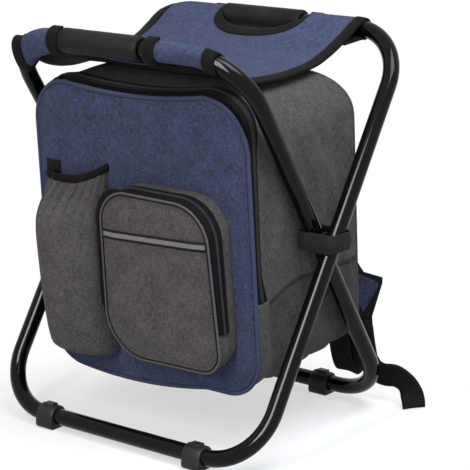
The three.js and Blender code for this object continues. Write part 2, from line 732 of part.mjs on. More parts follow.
// Lower gussets that join the door to the sides below the zip
for (const [side, sign] of [["left", -1], ["right", 1]]) {
  const x = [sign * (BAG_HALF_W + TAPE_IN), sign * (BAG_HALF_W + TAPE_OUT)].sort((a, b) => a - b);
  const y = [ZIP_SPLIT_Y - ZIP_HALF_W, ZIP_SPLIT_Y + ZIP_HALF_W];
  const z = [BAG_BOTTOM + BAG_BOTTOM_CORNER_R, ZIP_END_Z - GAP];
  add(bag, `flap_gusset_${side}`, block(x, y, z), GREY);
}

// Zip pocket: a wall round its edge, a front that folds down, and its zip tape

function pocketOutline(inset) {
  return roundedRect(POCKET_LEFT + inset, POCKET_RIGHT - inset, POCKET_BOTTOM + inset, POCKET_TOP - inset,
    POCKET_TOP_R - inset, POCKET_BOTTOM_R - inset);
}

function pocketWall() {
  const ring = pocketOutline(0);
  ring.holes.push(new THREE.Path(pocketOutline(CLOTH_T).getPoints(FLAT.curveSegments)));
  return frontPlate(ring, POCKET_RIM_Y, POCKET_SEAT_Y);
}

add(bag, "zip_pocket_wall", pocketWall(), GREY);
add(bag, "pocket_front", frontPlate(pocketOutline(0), POCKET_FACE_Y, POCKET_FACE_Y + CLOTH_T), GREY);
const POCKET_PIPING_OFFSET = POCKET_PIPING_R + GAP;
const POCKET_PIPING_Y = POCKET_FACE_Y + CLOTH_T / 2;
add(bag, "pocket_piping", piping(
  POCKET_LEFT - POCKET_PIPING_OFFSET, POCKET_RIGHT + POCKET_PIPING_OFFSET,
  POCKET_BOTTOM - POCKET_PIPING_OFFSET, POCKET_TOP + POCKET_PIPING_OFFSET,
  POCKET_TOP_R + POCKET_PIPING_OFFSET, POCKET_BOTTOM_R + POCKET_PIPING_OFFSET,
  POCKET_PIPING_Y, POCKET_PIPING_R), GREY);
const STRIPE_Y = POCKET_FACE_Y - GAP;
add(bag, "pocket_stripe", block(
  [POCKET_LEFT + CLOTH_T, POCKET_RIGHT - CLOTH_T], [STRIPE_Y - STRIPE_T, STRIPE_Y],
  [STRIPE_Z, STRIPE_Z + STRIPE_H]), PALE_TAPE);
const POCKET_TAPE_FROM = POCKET_PIPING_Y + POCKET_PIPING_R + GAP;
add(bag, "pocket_zip_tape", outlineStrip(
  pocketOutline, TAPE_IN, TAPE_OUT, POCKET_TAPE_FROM, POCKET_TAPE_FROM + 2 * POCKET_ZIP_HALF_W,
  POCKET_ZIP_END_Z), BLACK_CLOTH);

// Bottle pocket: a gathered pouch on the panel, open at the top, with an elastic rim

function halfEllipse(halfW, depth, z) {
  return Array.from({ length: BOTTLE_STEPS + 1 }, (_, i) => {
    const angle = Math.PI * i / BOTTLE_STEPS;
    return new THREE.Vector3(
      BOTTLE_X + halfW * Math.cos(angle), POCKET_SEAT_Y - depth * Math.sin(angle), z);
  });
}

// A pouch-shaped solid through half ellipses at several heights
function pouch(inset, bottom, top, behind) {
  const middle = (BOTTLE_TOP + BOTTLE_BOTTOM) / 2;
  const levels = [
    [bottom, BOTTLE_FOOT_DEPTH], [(bottom + middle) / 2, BOTTLE_DEPTH],
    [middle, BOTTLE_DEPTH], [top, BOTTLE_MOUTH_DEPTH],
  ];
  const rows = levels.map(([z, depth]) => {
    const arc = halfEllipse(BOTTLE_HALF_W - inset, depth - inset, z);
    const first = arc[0].clone().setY(POCKET_SEAT_Y + behind);
    const last = arc[arc.length - 1].clone().setY(POCKET_SEAT_Y + behind);
    return [first, ...arc, last];
  });
  const count = rows[0].length;
  const positions = rows.flat().flatMap((point) => [point.x, point.y, point.z]);
  const index = [];
  for (let i = 0; i + 1 < rows.length; i++) {
    for (let k = 0; k < count; k++) {
      const a = i * count + k;
      const b = i * count + (k + 1) % count;
      index.push(a, b, a + count, b, b + count, a + count);
    }
  }
  const end = (rows.length - 1) * count;
  for (let k = 1; k + 1 < count; k++) {
    index.push(0, k + 1, k);
    index.push(end, end + k, end + k + 1);
  }
  const geometry = new THREE.BufferGeometry();
  geometry.setAttribute("position", new THREE.Float32BufferAttribute(positions, 3));
  geometry.setIndex(index);
  return geometry;
}

const POUCH_FLUSH = 0.001;
add(bag, "bottle_pocket", cut(
  pouch(0, BOTTLE_BOTTOM, BOTTLE_TOP, POUCH_FLUSH),
  pouch(BOTTLE_WALL, BOTTLE_BOTTOM + BOTTLE_WALL, BOTTLE_TOP + BOTTLE_WALL, 2 * BOTTLE_WALL)), GREY);
const RIM_INSET = BOTTLE_WALL / 2;
const rimStations = halfEllipse(BOTTLE_HALF_W - RIM_INSET, BOTTLE_MOUTH_DEPTH - RIM_INSET,
  BOTTLE_TOP + GAP + ELASTIC_R);
add(bag, "bottle_pocket_elastic", common(
  sweep(rimStations, ELASTIC_R, 0, PIPING_SIDES),
  block([-WIDE, WIDE], [-WIDE, POCKET_SEAT_Y], [-WIDE, WIDE])), BLACK_CLOTH);
const TAB_Z = BOTTLE_TOP + 2 * ELASTIC_R + 2 * GAP;
add(bag, "bottle_pocket_tab", block(
  [TAB_RIGHT - TAB_W, TAB_RIGHT], [POCKET_SEAT_Y - TAB_T, POCKET_SEAT_Y],
  [TAB_Z, TAB_Z + TAB_H]), BLACK_CLOTH);

// Zip sliders and pulls: the main ones at the left end of the zip, the pocket's in the groove
// between the pockets
function addZipHead(name, faceX, y, z, size, pull) {
  const slider = block([faceX - size.t, faceX], [y - size.w / 2, y + size.w / 2], [z, z + size.h]);
  add(bag, `${name}_slider`, slider, ZIP_METAL);
  const pullFace = faceX - size.t - GAP;
  const top = z + size.h / 2;
  add(bag, `${name}_pull`, block(
    [pullFace - pull.t, pullFace], [y - pull.w / 2, y + pull.w / 2], [top - pull.l, top]), ZIP_METAL);
}

addZipHead("main_zip", -BAG_HALF_W - TAPE_OUT - GAP, ZIP_SPLIT_Y, ZIP_END_Z,
  { w: SLIDER_W, h: SLIDER_H, t: SLIDER_T }, { w: PULL_W, l: PULL_L, t: PULL_T });
addZipHead("pocket_zip", POCKET_LEFT - TAPE_OUT - GAP,
  POCKET_TAPE_FROM + POCKET_ZIP_HALF_W, POCKET_ZIP_END_Z,
  { w: POCKET_SLIDER_W, h: POCKET_SLIDER_H, t: POCKET_SLIDER_T },
  { w: POCKET_PULL_W, l: POCKET_PULL_L, t: POCKET_PULL_T });

// Pivot bands: webbing loops round both tubes, against the sides of the bag
for (const [side, sign] of [["left", -1], ["right", 1]]) {
  const x0 = BAG_HALF_W + GAP;
  const x1 = OUTER_LEG_X + TUBE_R + 2 * GAP + RIVET_HEAD_T + BAND_T;
  const halfY = BAND_HEIGHT / 2 * Math.tan(LEAN) + TUBE_R / Math.cos(LEAN) + BAND_SIDE_ROOM + BAND_T;
  const shape = roundedRect(x0, x1, -halfY, halfY, BAND_CORNER_R, BAND_CORNER_R);
  const holeR = BAND_CORNER_R - BAND_T;
  const hole = roundedRect(x0 + BAND_T / 2, x1 - BAND_T, -halfY + BAND_T, halfY - BAND_T, holeR, holeR);
  shape.holes.push(new THREE.Path(hole.getPoints(FLAT.curveSegments)));
  const band = new THREE.ExtrudeGeometry(shape, { ...FLAT, depth: BAND_HEIGHT });
  band.scale(sign, 1, 1).translate(0, 0, PIVOT_Z - BAND_HEIGHT / 2);
  add(stool, `pivot_band_${side}`, band, BLACK_CLOTH);
}

// Shoulder straps: a pad from the top of the back, a buckle at its lower end, webbing from the
// bag's lower corner to the buckle, and the webbing's tail on the floor behind the rear bar

// A point on the outside of the bag's back, moved out by a distance
function onBack(x, z, out) {
  const point = new THREE.Vector3(x, BAG_BACK + out, z);
  point.applyAxisAngle(new THREE.Vector3(1, 0, 0), BAG_TILT);
  return point.setZ(point.z + PIVOT_Z);
}

// Routes on the right, with X counted from the side of the bag, and the direction of the width
const PAD_ROUTE = [
  [[-72, 103, 288], [1, 0.1, 0]],
  [[-70, 117, 264], [0.98, 0.15, 0]],
  [[-67, 124, 228], [0.98, 0.2, 0]],
  [[-60, 125, 192], [0.95, 0.3, 0]],
  [[-42, 122.5, 168], [0.75, 0.65, 0]],
  [[-19, 119.5, 152], [0.4, 0.92, 0]],
  [[-13.7, 118.5, 143], [0.35, 0.93, 0]],
  [[-13.5, 118.5, 136.8], [0.35, 0.93, 0]],
];
const BUCKLE_AT = [[-13.5, 118.5, 126], [0.35, 0.93, 0]];
const WEBBING_ROUTE = [
  [[-28, 101, 88], [1, 0, 0]],
  [[-27, 107, 66], [1, 0, 0]],
  [[-26, 113.5, 53], [1, 0, 0]],
  [[-24.5, 120, 50], [1, 0, 0]],
  [[-22.5, 125.5, 56], [1, 0.05, 0]],
  [[-19.5, 126, 72], [0.85, 0.5, 0]],
  [[-15, 122, 92], [0.55, 0.83, 0]],
  [[-13, 118.5, 106], [0.35, 0.93, 0]],
  [[-13.5, 118.5, 115.4], [0.35, 0.93, 0]],
];
const TAIL_ROUTE = [
  [[-10.55, 117.4, 121], [0.35, 0.93, 0]],
  [[-7.5, 117.5, 108], [0.35, 0.93, 0]],
  [[0, 122, 84], [0.45, 0.89, 0]],
  [[5, 132, 56], [0.85, 0.5, 0]],
  [[4, 140.5, 34], [1, 0, 0]],
  [[4, 140.5, 12], [1, 0, 0]],
];

function mirrored(route, sign) {
  return route.map(([[x, y, z], [u, v, w]]) => [
    new THREE.Vector3(sign * (BAG_HALF_W + x), y, z), new THREE.Vector3(sign * u, v, w)]);
}

function addStrap(side, sign) {
  const outward = new THREE.Vector3(sign, 0, 0);
  const sewn = [STRAP_TOP_Z, STRAP_TOP_Z - STRAP_SEWN].map(
    (z) => [onBack(sign * (BAG_HALF_W - STRAP_TOP_INSET), z, PAD_T / 2 + GAP), outward]);
  add(stool, `shoulder_strap_${side}`,
    ribbon([...sewn, ...mirrored(PAD_ROUTE, sign)], PAD_W, PAD_T, PAD_BEVEL), BLUE);
  const anchorX = sign * (BAG_HALF_W - ANCHOR_INSET);
  const anchor = [onBack(anchorX, ANCHOR_Z, WEBBING_T / 2 + GAP), outward];
  add(stool, `strap_webbing_${side}`,
    ribbon([anchor, ...mirrored(WEBBING_ROUTE, sign)], WEBBING_W, WEBBING_T, 0), BLACK_CLOTH);
  const tail = mirrored(TAIL_ROUTE, sign);
  const fold = tail[tail.length - 1][0];
  const tailEnd = sign * (OUTER_LEG_X + TAIL_PAST_LEG);
  const floorX = [fold.x - sign * WEBBING_W / 2, tailEnd].sort((a, b) => a - b);
  const floorY = [fold.y - WEBBING_T / 2, fold.y + WEBBING_T / 2];
  const onFloor = block(floorX, floorY, [FLOOR_LIFT, FLOOR_LIFT + WEBBING_W]);
  add(stool, `strap_tail_${side}`, join(ribbon(tail, WEBBING_W, WEBBING_T, 0), onFloor), BLACK_CLOTH);

  const frameW = WEBBING_W + 2 * BUCKLE_RAIL;
  const frame = roundedRect(
    -frameW / 2, frameW / 2, -BUCKLE_H / 2, BUCKLE_H / 2, BUCKLE_CORNER_R, BUCKLE_CORNER_R);
  const slotH = (BUCKLE_H - 3 * BUCKLE_RAIL) / 2;
  for (const z of [BUCKLE_RAIL / 2, -BUCKLE_RAIL / 2 - slotH]) {
    const slot = roundedRect(-WEBBING_W / 2, WEBBING_W / 2, z, z + slotH, BUCKLE_SLOT_R, BUCKLE_SLOT_R);
    frame.holes.push(new THREE.Path(slot.getPoints(FLAT.curveSegments)));
  }
  const geometry = new THREE.ExtrudeGeometry(frame, { ...FLAT, depth: BUCKLE_T });
  geometry.translate(0, 0, -BUCKLE_T / 2);
  const [[centre, wide]] = mirrored([BUCKLE_AT], sign);
  const up = new THREE.Vector3(0, 0, 1);
  const across = wide.normalize();
  geometry.applyMatrix4(new THREE.Matrix4().makeBasis(across, up, across.clone().cross(up)));
  geometry.translate(centre.x, centre.y, centre.z);
  add(stool, `strap_buckle_${side}`, geometry, BLACK_PLASTIC);
}

addStrap("left", -1);
addStrap("right", 1);

export default stool;
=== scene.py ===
# Folding cooler stool: the looks of every piece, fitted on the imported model.
# Sizes are in millimetres, and become metres when a piece is set down.
import math

import bmesh
import bpy
from mathutils import Matrix, Vector, noise


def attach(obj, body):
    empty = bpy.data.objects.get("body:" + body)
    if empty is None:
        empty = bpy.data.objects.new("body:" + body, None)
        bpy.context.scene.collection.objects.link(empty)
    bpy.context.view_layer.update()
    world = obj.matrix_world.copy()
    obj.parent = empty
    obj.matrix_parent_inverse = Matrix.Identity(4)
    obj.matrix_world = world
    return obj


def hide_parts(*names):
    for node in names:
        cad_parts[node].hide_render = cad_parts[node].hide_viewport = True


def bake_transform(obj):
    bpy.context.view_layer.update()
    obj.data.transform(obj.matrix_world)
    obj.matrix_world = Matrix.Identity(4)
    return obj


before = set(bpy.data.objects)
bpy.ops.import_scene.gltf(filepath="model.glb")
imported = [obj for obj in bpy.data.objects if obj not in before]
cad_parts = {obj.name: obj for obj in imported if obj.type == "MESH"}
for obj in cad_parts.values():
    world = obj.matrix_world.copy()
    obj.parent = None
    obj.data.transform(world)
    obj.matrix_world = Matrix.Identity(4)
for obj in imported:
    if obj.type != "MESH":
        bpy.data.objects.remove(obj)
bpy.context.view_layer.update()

MM = 0.001
TURN = 2 * math.pi
QUARTER = math.pi / 2
FRONT, REAR = -1, 1
SIDES = (("left", -1), ("right", 1))

# Frame
TUBE_R = 8.5
BEND_R = 60.0
TOP_BAR_Z = 406.0
BOTTOM_BAR_Z = 13.0
TOP_SPREAD = 125.0
BOTTOM_SPREAD = 130.0
INNER_LEG_X = 147.0
OUTER_LEG_X = 167.0
LEAN = math.atan2(TOP_SPREAD + BOTTOM_SPREAD, TOP_BAR_Z - BOTTOM_BAR_Z)
LEAN_SIN = math.sin(LEAN)
LEAN_COS = math.cos(LEAN)
PIVOT_Z = BOTTOM_BAR_Z + BOTTOM_SPREAD / math.tan(LEAN)
TOP_REACH = TOP_SPREAD / LEAN_SIN
BOTTOM_REACH = BOTTOM_SPREAD / LEAN_SIN

# Grips, each with its two ends, and feet
GRIP_R = 12.5
GRIP_END = ((1.2, TUBE_R + 0.1), (0.0, 10.2), (0.4, 11.6), (2.0, GRIP_R))
FRONT_GRIP = (-71, 29)
REAR_GRIP = (-62, 40)
FOOT_W = 22.0
FOOT_R = 11.5
FOOT_HALF_D = 12.5
FOOT_LIP = (13, 9, 5)
FOOT_LIP_RISE = 10.6
FRONT_FOOT_X = 97.0
REAR_FOOT_X = 66.0

# Seat cloth: the hems on each top bar, and the cut-outs between them
HEM_R = 10.5
SEAT_T = 1.4
FRONT_HEMS = ((-140.0, -72.0), (40.0, 118.0))
REAR_HEMS = ((-148.0, -64.0), (51.0, 117.0))
CUTOUT = 36.0
FRONT_SEAM = 24.0
REAR_SEAM = 42.0
SEAM_UNDER = 2.6
HEM_TURN = math.radians(205)
HEM_ROUND = 0.72
HEM_BEND = 0.74
EDGE_DROOP = 0.96
EDGE_SHARE = 0.15
SEAT_WAVE = 1.6
LOOSE_HEM = 0.6
SEAT_LENGTH = 275.0
SEAT_WIDTH = 258.0
HEM_LENGTH = 75.0
SEAT_SIDE = ((-125, 416.5), (-112, 406), (-91, 386), (-56, 377), (-11, 376.5), (32, 379.5), (61, 387.5),
             (85, 397), (97, 402.5), (110, 410), (125, 416.5))

# Bag, in its own frame on the pivot line, which leans a little
TILT = math.radians(4)
BAG_HALF_W = 134.0
BAG_TOP = 160.0
BAG_BOTTOM = -140.0
BAG_FRONT = -84.0
BAG_BACK = 88.0
BACK_TOP_R = 60.0
BACK_BOTTOM_R = 28.0
BACK_INSET = 46.0
BACK_LOW_INSET = 32.0
BOOT_SEAM = ((-84, -55), (-67.8, -51.7), (-34.9, -40), (11.2, -41.2), (88, -46.4))
TOP_SINK = 8.0
SINK_FROM_Z = 60.0
SINK_X = -14.0
SINK_HALF = 95.0
BOTTOM_SAG = 11.0
SAG_X = -35.0
SAG_HALF = 105.0
SAG_FROM_Z = -116.0
MOST_SLACK = 4.0
CLOTH_T = 1.2
LINER_INSET = 8.0
LINER_GAP = 0.4
FOAM_INSET = 1.6
FOAM_T = 5.8
FOAM_FROM_Z = 100.3
DOOR_FOAM_T = 4.0
HINGE_ROOM = 16.0

# Door, main zip and pockets
PANEL_Y = -91.9
PIPING_R = 2.2
ZIP_FRONT_Y = -87.2
ZIP_SPLIT_Y = -77.2
ZIP_BACK_Y = -67.2
ZIP_END_Z = -54.0
ZIP_RIGHT_END_Z = -46.0
ZIP_OUT = 1.3
MAIN_ZIP_HEAD = (-135.6, ZIP_SPLIT_Y, ZIP_END_Z)
MAIN_SLIDER = (3, 9, 14)
MAIN_PULL = (1.4, 6, 22)
POCKET_SEAT_Y = -92.2
POCKET_RIM_Y = -118.2
POCKET_ZIP_ENDS = (-72.0, -84.0)
ZIP_GUARD = 9.0
POCKET_ZIP_HEAD = (-31.5, -111.5, -80)
POCKET_SLIDER = (2.4, 7, 10)
POCKET_PULL = (1.2, 5, 16)
STRIPE_LEFT_Z = 11.5
STRIPE_RIGHT_Z = 16.5
STRIPE_W = 9.6
STRIPE_PALE = 4.6
BOTTLE_X = -82.0
BOTTLE_HALF_W = 42.0
BOTTLE_SIDE = ((-123, 0.0), (-124.5, 14), (-124, 28), (-116, 37), (-85, 44), (-30, 50), (10, 51), (27, 45),
               (46, 27), (62, 11))
PLEATS = 9.5
PLEAT_DEPTH = 4.6
TAB_X = (-125.0, -105.0)
TAB_Z = (57.0, 70.0)

# Pivot cuffs and shoulder straps
CUFF_X = (134.6, 180.0)
CUFF_HALF_D = 19.0
CUFF_HALF_H = 9.8
PAD_W = 46.0
PAD_T = 11.0
WEBBING_W = 25.0
WEBBING_T = 1.6
BUCKLE_X = 120.5
BUCKLE_Y = 118.5
BUCKLE_Z = 126.0
BUCKLE_RAIL = 4.0
BUCKLE_WIDE = (0.35, 0.93, 0)

# The photograph's view: a long lens from the front right, a little above the seat
VIEW_AZIMUTH = 37.375
VIEW_ELEVATION = 14.329
VIEW_PLACE = (1160.8, -1461.4, 670.7)
VIEW_LENS = 141.91

# Studio, in metres: where the floor's shade lies, and the point that the lamps face
SHADE_CENTRE = (0.05, -0.07, 0.0)
SHADE_FROM = 0.16
SHADE_TO = 0.36
LAMP_AIM = (0, 0, 0.2)


# Measures and curves


def mix(a, b, share):
    return a + (b - a) * share


def clamp(value, low, high):
    return min(max(value, low), high)


def ease(share):
    """Rises smoothly from 0 to 1 as share does."""
    share = clamp(share, 0.0, 1.0)
    return share * share * (3 - 2 * share)


def ripple(x, y, z):
    """Smooth uneven waves between about -1 and 1."""
    return noise.noise(Vector((x, y, z)))


def halve(short_of, low, high):
    """The place between low and high up to which a test holds, found by halving."""
    for _ in range(40):
        half = (low + high) / 2
        if short_of(half):
            low = half
        else:
            high = half
    return low


class Table:
    """A curve worked out at even steps from 0 to 1, and read between them."""

    def __init__(self, curve, steps):
        self.steps = steps
        self.values = [curve(i / steps) for i in range(steps + 1)]

    def at(self, share):
        place = clamp(share, 0.0, 1.0) * self.steps
        i = min(int(place), self.steps - 1)
        return mix(self.values[i], self.values[i + 1], place - i)


def bag_point(x, y, z):
    """A point of the bag's own frame, in the stool's frame. The bag's top sinks and its bottom sags."""
    sunk = max(0.0, 1 - ((x - SINK_X) / SINK_HALF) ** 2) * ease((z - SINK_FROM_Z) / 90)
    sagged = max(0.0, 1 - ((x - SAG_X) / SAG_HALF) ** 2) * ease((SAG_FROM_Z - z) / 24)
    z -= sunk * TOP_SINK * (1 - ease((y + 68) / 34)) + sagged * BOTTOM_SAG
    return Vector((x, y * math.cos(TILT) - z * math.sin(TILT),
                   PIVOT_Z + y * math.sin(TILT) + z * math.cos(TILT)))


def bag_metres(x, y, z):
    """The same point in metres."""
    return bag_point(x, y, z) * MM


class Route:
    """A smooth curve through points, measured by its length."""

    def __init__(self, points):
        self.points = [Vector(point) for point in points]
        self.marks = [0.0]
        for before, after in zip(self.points, self.points[1:]):
            self.marks.append(self.marks[-1] + (after - before).length)
        self.length = self.marks[-1]

    def step(self, share):
        """The number of the stretch that a share falls in, and how far along that stretch it is."""
        distance = clamp(share, 0.0, 1.0) * self.length
        last = len(self.points) - 2
        i = next((k for k in range(last + 1) if distance <= self.marks[k + 1]), last)
        return i, (distance - self.marks[i]) / (self.marks[i + 1] - self.marks[i])

    def at(self, share):
        i, t = self.step(share)
        before = self.points[max(i - 1, 0)]
        a = self.points[i]
        b = self.points[i + 1]
        after = self.points[min(i + 2, len(self.points) - 1)]
        curve = 2 * a + (b - before) * t + (2 * before - 5 * a + 4 * b - after) * t * t
        return (curve + (3 * a - before - 3 * b + after) * t ** 3) / 2

    def along(self, share):
        return (self.at(share + 0.01) - self.at(share - 0.01)).normalized()

    def share_before(self, x):
        """The share up to which the route's first coordinate stays below a value."""
        return halve(lambda share: self.at(share).x < x, 0.0, 1.0)


class Band(Route):
    """A route of a flat strap: each station has its centre and the direction of its width."""

    def __init__(self, stations, side):
        super().__init__([(side * x, y, z) for (x, y, z), _ in stations])
        self.wide = [Vector((side * x, y, z)) for _, (x, y, z) in stations]

    def spot(self, share):
        """The centre, the direction of the width and the direction that faces out."""
        i, t = self.step(share)
        along = self.along(share)
        wide = self.wide[i].lerp(self.wide[i + 1], t)
        wide = (wide - along * wide.dot(along)).normalized()
        return self.at(share), wide, wide.cross(along)


class Outline:
    """A closed outline in X and Z with round corners, run from the middle of its bottom edge to the right."""

    def __init__(self, *corners):
        count = len(corners)
        bends = []
        for i, (x, z, radius) in enumerate(corners):
            here = Vector((x, z))
            into = (here - Vector(corners[i - 1][:2])).normalized()
            away = (Vector(corners[(i + 1) % count][:2]) - here).normalized()
            turn = math.acos(clamp(into.dot(away), -1.0, 1.0))
            reach = radius * math.tan(turn / 2)
            bends.append((here - into * reach, here + away * reach, into, turn, radius))
        home = (bends[-1][1] + bends[0][0]) / 2
        pen = home
        self.runs = []
        for entry, leave, into, turn, radius in bends:
            self.runs.append((pen, into, (entry - pen).length, 0.0))
            self.runs.append((entry, into, radius * turn, radius))
            pen = leave
        self.runs.append((pen, bends[0][2], (home - pen).length, 0.0))
        self.length = sum(run[2] for run in self.runs)
        self.middle = sum((Vector(corner[:2]) for corner in corners), Vector((0, 0))) / count

    def spot(self, share):
        """The point at a share of the way round, and the outward direction there."""
        left = (share % 1.0) * self.length
        for start, heading, length, radius in self.runs:
            if left <= length:
                break
            left -= length
        outward = Vector((heading.y, -heading.x))
        if radius == 0.0:
            return start + heading * left, outward
        turned = Matrix.Rotation(left / radius, 2) @ outward
        return start - outward * radius + turned * radius, turned

    def at(self, share, out=0.0, inward=0.0):
        """A point that stands out from the outline, then goes inward by a share of the way to the middle."""
        point, outward = self.spot(share)
        point = point + outward * out
        return point + (self.middle - point) * inward

    def rising(self, z):
        """The share at which the right side reaches a height."""
        return halve(lambda share: self.at(share).y < z, 0.0, 0.5)

    def falling(self, z):
        """The share at which the left side comes down to a height."""
        return halve(lambda share: self.at(share).y > z, 0.5, 1.0)


BAG_OUTLINE = Outline((BAG_HALF_W, BAG_BOTTOM, 35), (BAG_HALF_W, BAG_TOP, 50), (-BAG_HALF_W, BAG_TOP, 50),
                      (-BAG_HALF_W, BAG_BOTTOM, 35))
PANEL_OUTLINE = Outline((134.5, -141.5, 37), (131, 152.5, 50), (-133.5, 152.5, 43), (-134.5, -141.5, 37))
POCKET_BASE = Outline((113, -114, 30), (110, 61, 38), (-24.5, 62, 34), (-24.5, -115, 40))
POCKET_FACE = Outline((112, -113, 22), (100, 53.5, 40), (-30.5, 55.5, 32), (-30.5, -115.5, 46))


# Making pieces


def lay_sheet(bm, across, along, place, size):
    """Lays a grid of cloth: its UV map is the flat cloth, and place(u, v) gives where each point goes."""
    uv_map = bm.loops.layers.uv.verify()
    verts = bmesh.ops.create_grid(bm, x_segments=across, y_segments=along, size=0.5)["verts"]
    for face in {face for vert in verts for face in vert.link_faces}:
        for loop in face.loops:
            u = loop.vert.co.x + 0.5
            v = loop.vert.co.y + 0.5
            loop[uv_map].uv = (u * size[0] * MM, v * size[1] * MM)
    for vert in verts:
        vert.co = place(vert.co.x + 0.5, vert.co.y + 0.5)
    return verts


def run_round(bm, outline, section, across, along, wide, span=lambda u: (0.0, 1.0)):
    """Lays a strip along an outline of the bag.

    section(u, share) gives how far the strip stands out, its depth, and how far it goes to the middle.
    """
    def place(u, v):
        start, end = span(u)
        share = mix(start, end, v)
        out, y, inward = section(u, share)
        spot = outline.at(share, out, inward)
        return bag_point(spot.x, y, spot.y)

    start, end = span(0.0)
    lay_sheet(bm, across, along, place, (wide, outline.length * (end - start)))


def flat_threads(bm):
    """Turns the UV map of a flat panel of the bag to its own width and height."""
    uv_map = bm.loops.layers.uv.verify()
    for face in bm.faces:
        for loop in face.loops:
            loop[uv_map].uv = (loop.vert.co.x * MM, loop.vert.co.z * MM)


def stand_off(surface, u, v, out):
    """A point that stands out by a distance from a surface given as a function of u and v."""
    step = 0.004
    over = surface(u + step, v) - surface(u - step, v)
    up = surface(u, v + step) - surface(u, v - step)
    return surface(u, v) + over.cross(up).normalized() * out


def weld(bm, distance=0.02):
    bmesh.ops.remove_doubles(bm, verts=bm.verts, dist=distance)


def turn_over(bm):
    bmesh.ops.reverse_faces(bm, faces=bm.faces)


def face_out(bm):
    bmesh.ops.recalc_face_normals(bm, faces=bm.faces)


def verts_of(geometry):
    """The vertices among the parts that an operator gives back."""
    return [part for part in geometry if isinstance(part, bmesh.types.BMVert)]


def edges_of(verts):
    return list(dict.fromkeys(edge for vert in verts for edge in vert.link_edges))


def round_edges(bm, edges, radius, segments=3):
    bmesh.ops.bevel(bm, geom=edges, offset=radius, offset_type="OFFSET", segments=segments, profile=0.5,
                    affect="EDGES", material=-1)


def round_block(bm, size, centre, radius):
    """A block with round edges."""
    verts = bmesh.ops.create_cube(bm, size=1.0, matrix=Matrix.Diagonal((*size, 1)))["verts"]
    bmesh.ops.translate(bm, vec=centre, verts=verts)
    round_edges(bm, edges_of(verts), radius)


def set_down(bm, name, finish, body=None, replaces=(), wall=0.0, side=-1, rounds=0, sharp=None):
    """Makes a finished object of a shape, and lets it ride on a body.

    A wall goes inward from the shape where side is -1, and to both sides of it where side is 0.
    """
    bmesh.ops.scale(bm, vec=(MM, MM, MM), verts=bm.verts)
    mesh = bpy.data.meshes.new(name)
    bm.to_mesh(mesh)
    bm.free()
    mesh.shade_smooth()
    if sharp is not None:
        mesh.set_sharp_from_angle(angle=math.radians(sharp))
    mesh.materials.append(finish)
    piece = bpy.data.objects.new(name, mesh)
    bpy.context.scene.collection.objects.link(piece)
    if wall:
        thick = piece.modifiers.new("wall", "SOLIDIFY")
        thick.thickness = wall * MM
        thick.offset = side
    if rounds:
        soft = piece.modifiers.new("soft", "SUBSURF")
        soft.levels = rounds
        soft.render_levels = rounds
    if replaces:
        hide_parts(*replaces)
    if body:
        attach(piece, body)
    return piece


# Finishes


def new_finish(name, colour, roughness, **sockets):
    """A material with a plain surface shader. Sockets are named with underscores for spaces."""
    material = bpy.data.materials.new(name)
    material.use_nodes = True
    shader = material.node_tree.nodes["Principled BSDF"]
    shader.inputs["Base Color"].default_value = (*colour, 1)
    shader.inputs["Roughness"].default_value = roughness
    for socket, value in sockets.items():
        shader.inputs[socket.replace("_", " ")].default_value = value
    return material


def add_node(owner, kind, inputs, **settings):
    """Adds a node to a material or the world. An input is a value, or the output of another node to link."""
    tree = owner.node_tree
    node = tree.nodes.new(kind)
    for key, value in settings.items():
        setattr(node, key, value)
    for key, value in inputs.items():
        if isinstance(value, bpy.types.NodeSocket):
            tree.links.new(value, node.inputs[key])
        else:
            node.inputs[key].default_value = value
    return node


def coordinates(material, kind, scale=(1, 1, 1)):
    """Texture coordinates in metres, stretched by a scale."""
    source = add_node(material, "ShaderNodeTexCoord", {})
    return add_node(material, "ShaderNodeMapping",
                    {"Vector": source.outputs[kind], "Scale": scale}).outputs[0]


def grain(material, where, scale, detail=2.0, roughness=0.5):
    """Uneven grain, about 0.5 on average."""
    return add_node(material, "ShaderNodeTexNoise", {
        "Vector": where, "Scale": scale, "Detail": detail, "Roughness": roughness}).outputs[0]


def calculate(owner, operation, a, b):
    return add_node(owner, "ShaderNodeMath", {0: a, 1: b}, operation=operation).outputs[0]


def bands(material, where, pitch, direction):
    """Even ridges across a direction, with a pitch in metres."""
    return add_node(material, "ShaderNodeTexWave", {"Vector": where, "Scale": TURN / 20 / pitch},
                    wave_type="BANDS", bands_direction=direction, wave_profile="SIN").outputs[1]


def shades(material, factor, *stops):
    """Colours along a factor, as pairs of a place and a colour."""
    ramp = add_node(material, "ShaderNodeValToRGB", {"Fac": factor})
    marks = ramp.color_ramp.elements
    while len(marks) < len(stops):
        marks.new(0.5)
    for mark, (place, colour) in zip(marks, stops):
        mark.position = place
        mark.color = (*colour, 1)
    return ramp.outputs[0]


def feed(material, socket, output):
    """Links an output to a socket of the surface shader."""
    shader = material.node_tree.nodes["Principled BSDF"]
    material.node_tree.links.new(output, shader.inputs[socket])


def colour_along(material, factor, *stops):
    """Colours the surface along a factor."""
    feed(material, "Base Color", shades(material, factor, *stops))


def roughness_along(material, factor, low, high):
    """Lets the roughness wander between two values with a grain."""
    spread = add_node(material, "ShaderNodeMapRange", {"Value": factor, "To Min": low, "To Max": high})
    feed(material, "Roughness", spread.outputs[0])


def relief(material, height, depth, strength=1.0):
    """Raises the surface by a height between 0 and 1, times a depth in millimetres."""
    bump = add_node(material, "ShaderNodeBump", {
        "Height": height, "Distance": depth * MM, "Strength": strength})
    feed(material, "Normal", bump.outputs[0])


def scaled(colour, factor):
    return tuple(channel * factor for channel in colour)


